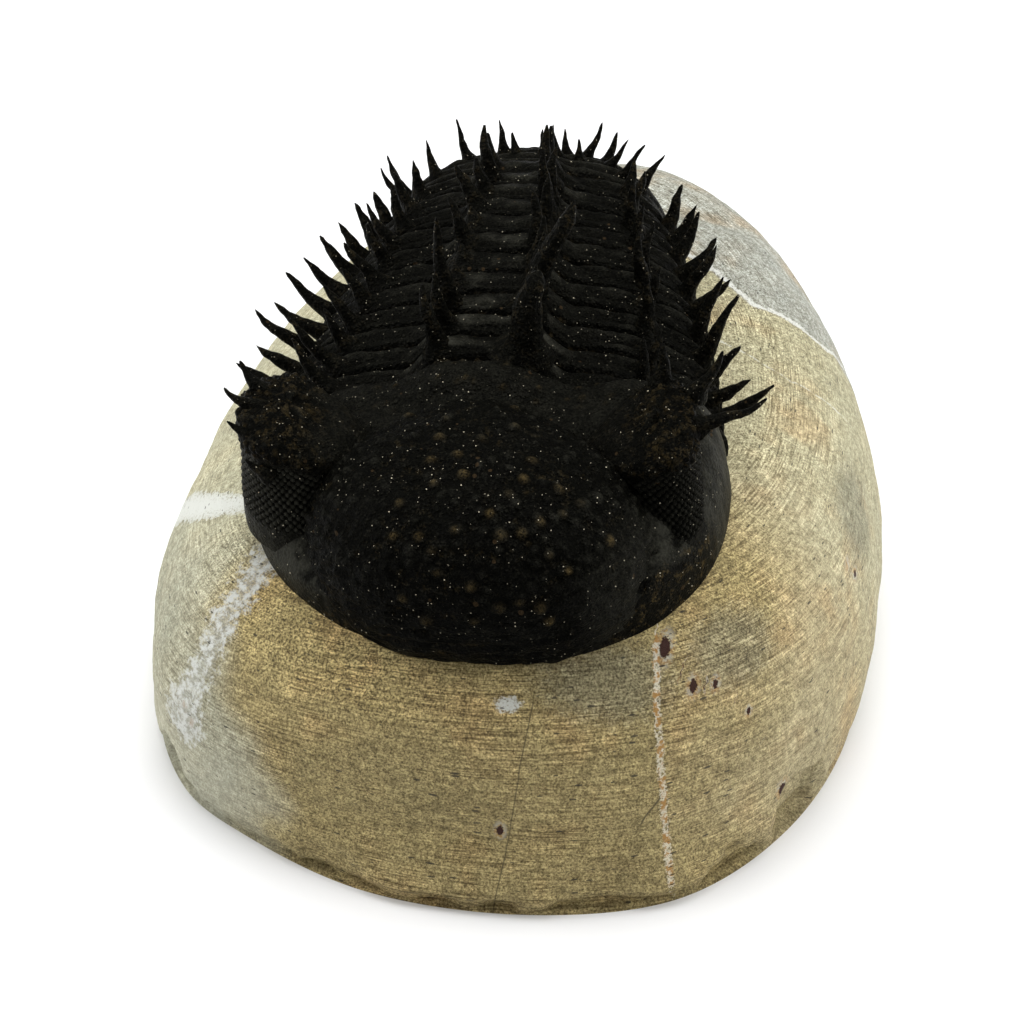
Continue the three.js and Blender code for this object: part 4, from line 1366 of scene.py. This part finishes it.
class FOSSIL_OT_stage(bpy.types.Operator):
    """Sets the pale floor, the soft lights and the camera"""

    bl_idname = "fossil.stage"
    bl_label = "Set the stage"

    def execute(self, context):
        settings = context.scene.fossil_stage
        mesh = bpy.data.meshes.new("floor")
        corners = [(x * FLOOR_HALF, y * FLOOR_HALF, 0) for x, y in ((-1, -1), (1, -1), (1, 1), (-1, 1))]
        mesh.from_pydata(corners, [], [(0, 1, 2, 3)])
        floor = bpy.data.objects.new("floor", mesh)
        paint = bpy.data.materials.new("Pale floor")
        paint.use_nodes = True
        shader = paint.node_tree.nodes["Principled BSDF"]
        shader.inputs["Base Color"].default_value = flat_colour(settings.floor_colour)
        shader.inputs["Roughness"].default_value = 0.8
        mesh.materials.append(paint)
        context.scene.collection.objects.link(floor)

        softbox(*TOP_LIGHT, settings.top_power)
        for light in SIDE_LIGHTS:
            softbox(*light, settings.side_power)
        world = bpy.data.worlds.new("Studio")
        world.use_nodes = True
        world.node_tree.nodes["Background"].inputs["Color"].default_value = (0.95, 0.97, 1, 1)
        world.node_tree.nodes["Background"].inputs["Strength"].default_value = 0.3
        context.scene.world = world

        data = bpy.data.cameras.new("camera")
        data.lens = settings.lens
        data.sensor_width = 36
        context.scene.camera = aimed("camera", data, CAMERA_PLACE, CAMERA_AIM)
        context.scene.view_settings.view_transform = "Standard"
        return {"FINISHED"}


class FOSSIL_PT_panel(bpy.types.Panel):
    """Lists what the fossil is built from"""

    bl_idname = "FOSSIL_PT_panel"
    bl_label = "Trilobite fossil"
    bl_space_type = "VIEW_3D"
    bl_region_type = "UI"
    bl_category = "Fossil"

    def draw(self, context):
        layout = self.layout
        for settings, operators in PARTS:
            box = layout.box()
            group = getattr(context.scene, settings)
            for name in group.__annotations__:
                box.prop(group, name)
            for operator in operators:
                box.operator(operator.bl_idname)


PARTS = [
    ("fossil_block", [FOSSIL_OT_block]),
    ("fossil_armour", [FOSSIL_OT_head, FOSSIL_OT_thorax, FOSSIL_OT_tail]),
    ("fossil_stage", [FOSSIL_OT_stage]),
]
SETTINGS = {
    "fossil_block": FossilBlockSettings,
    "fossil_armour": FossilArmourSettings,
    "fossil_stage": FossilStageSettings,
}
OPERATORS = [operator for _, operators in PARTS for operator in operators]


def register():
    for made in (*SETTINGS.values(), *OPERATORS, FOSSIL_PT_panel):
        bpy.utils.register_class(made)
    for name, settings in SETTINGS.items():
        setattr(bpy.types.Scene, name, bpy.props.PointerProperty(type=settings))


def unregister():
    for name in SETTINGS:
        delattr(bpy.types.Scene, name)
    for made in (FOSSIL_PT_panel, *reversed(OPERATORS), *reversed(SETTINGS.values())):
        bpy.utils.unregister_class(made)


def main():
    register()
    bpy.ops.fossil.block()
    bpy.ops.fossil.head()
    bpy.ops.fossil.thorax()
    bpy.ops.fossil.tail()
    bpy.ops.fossil.stage()


if __name__ == "__main__":
    main()
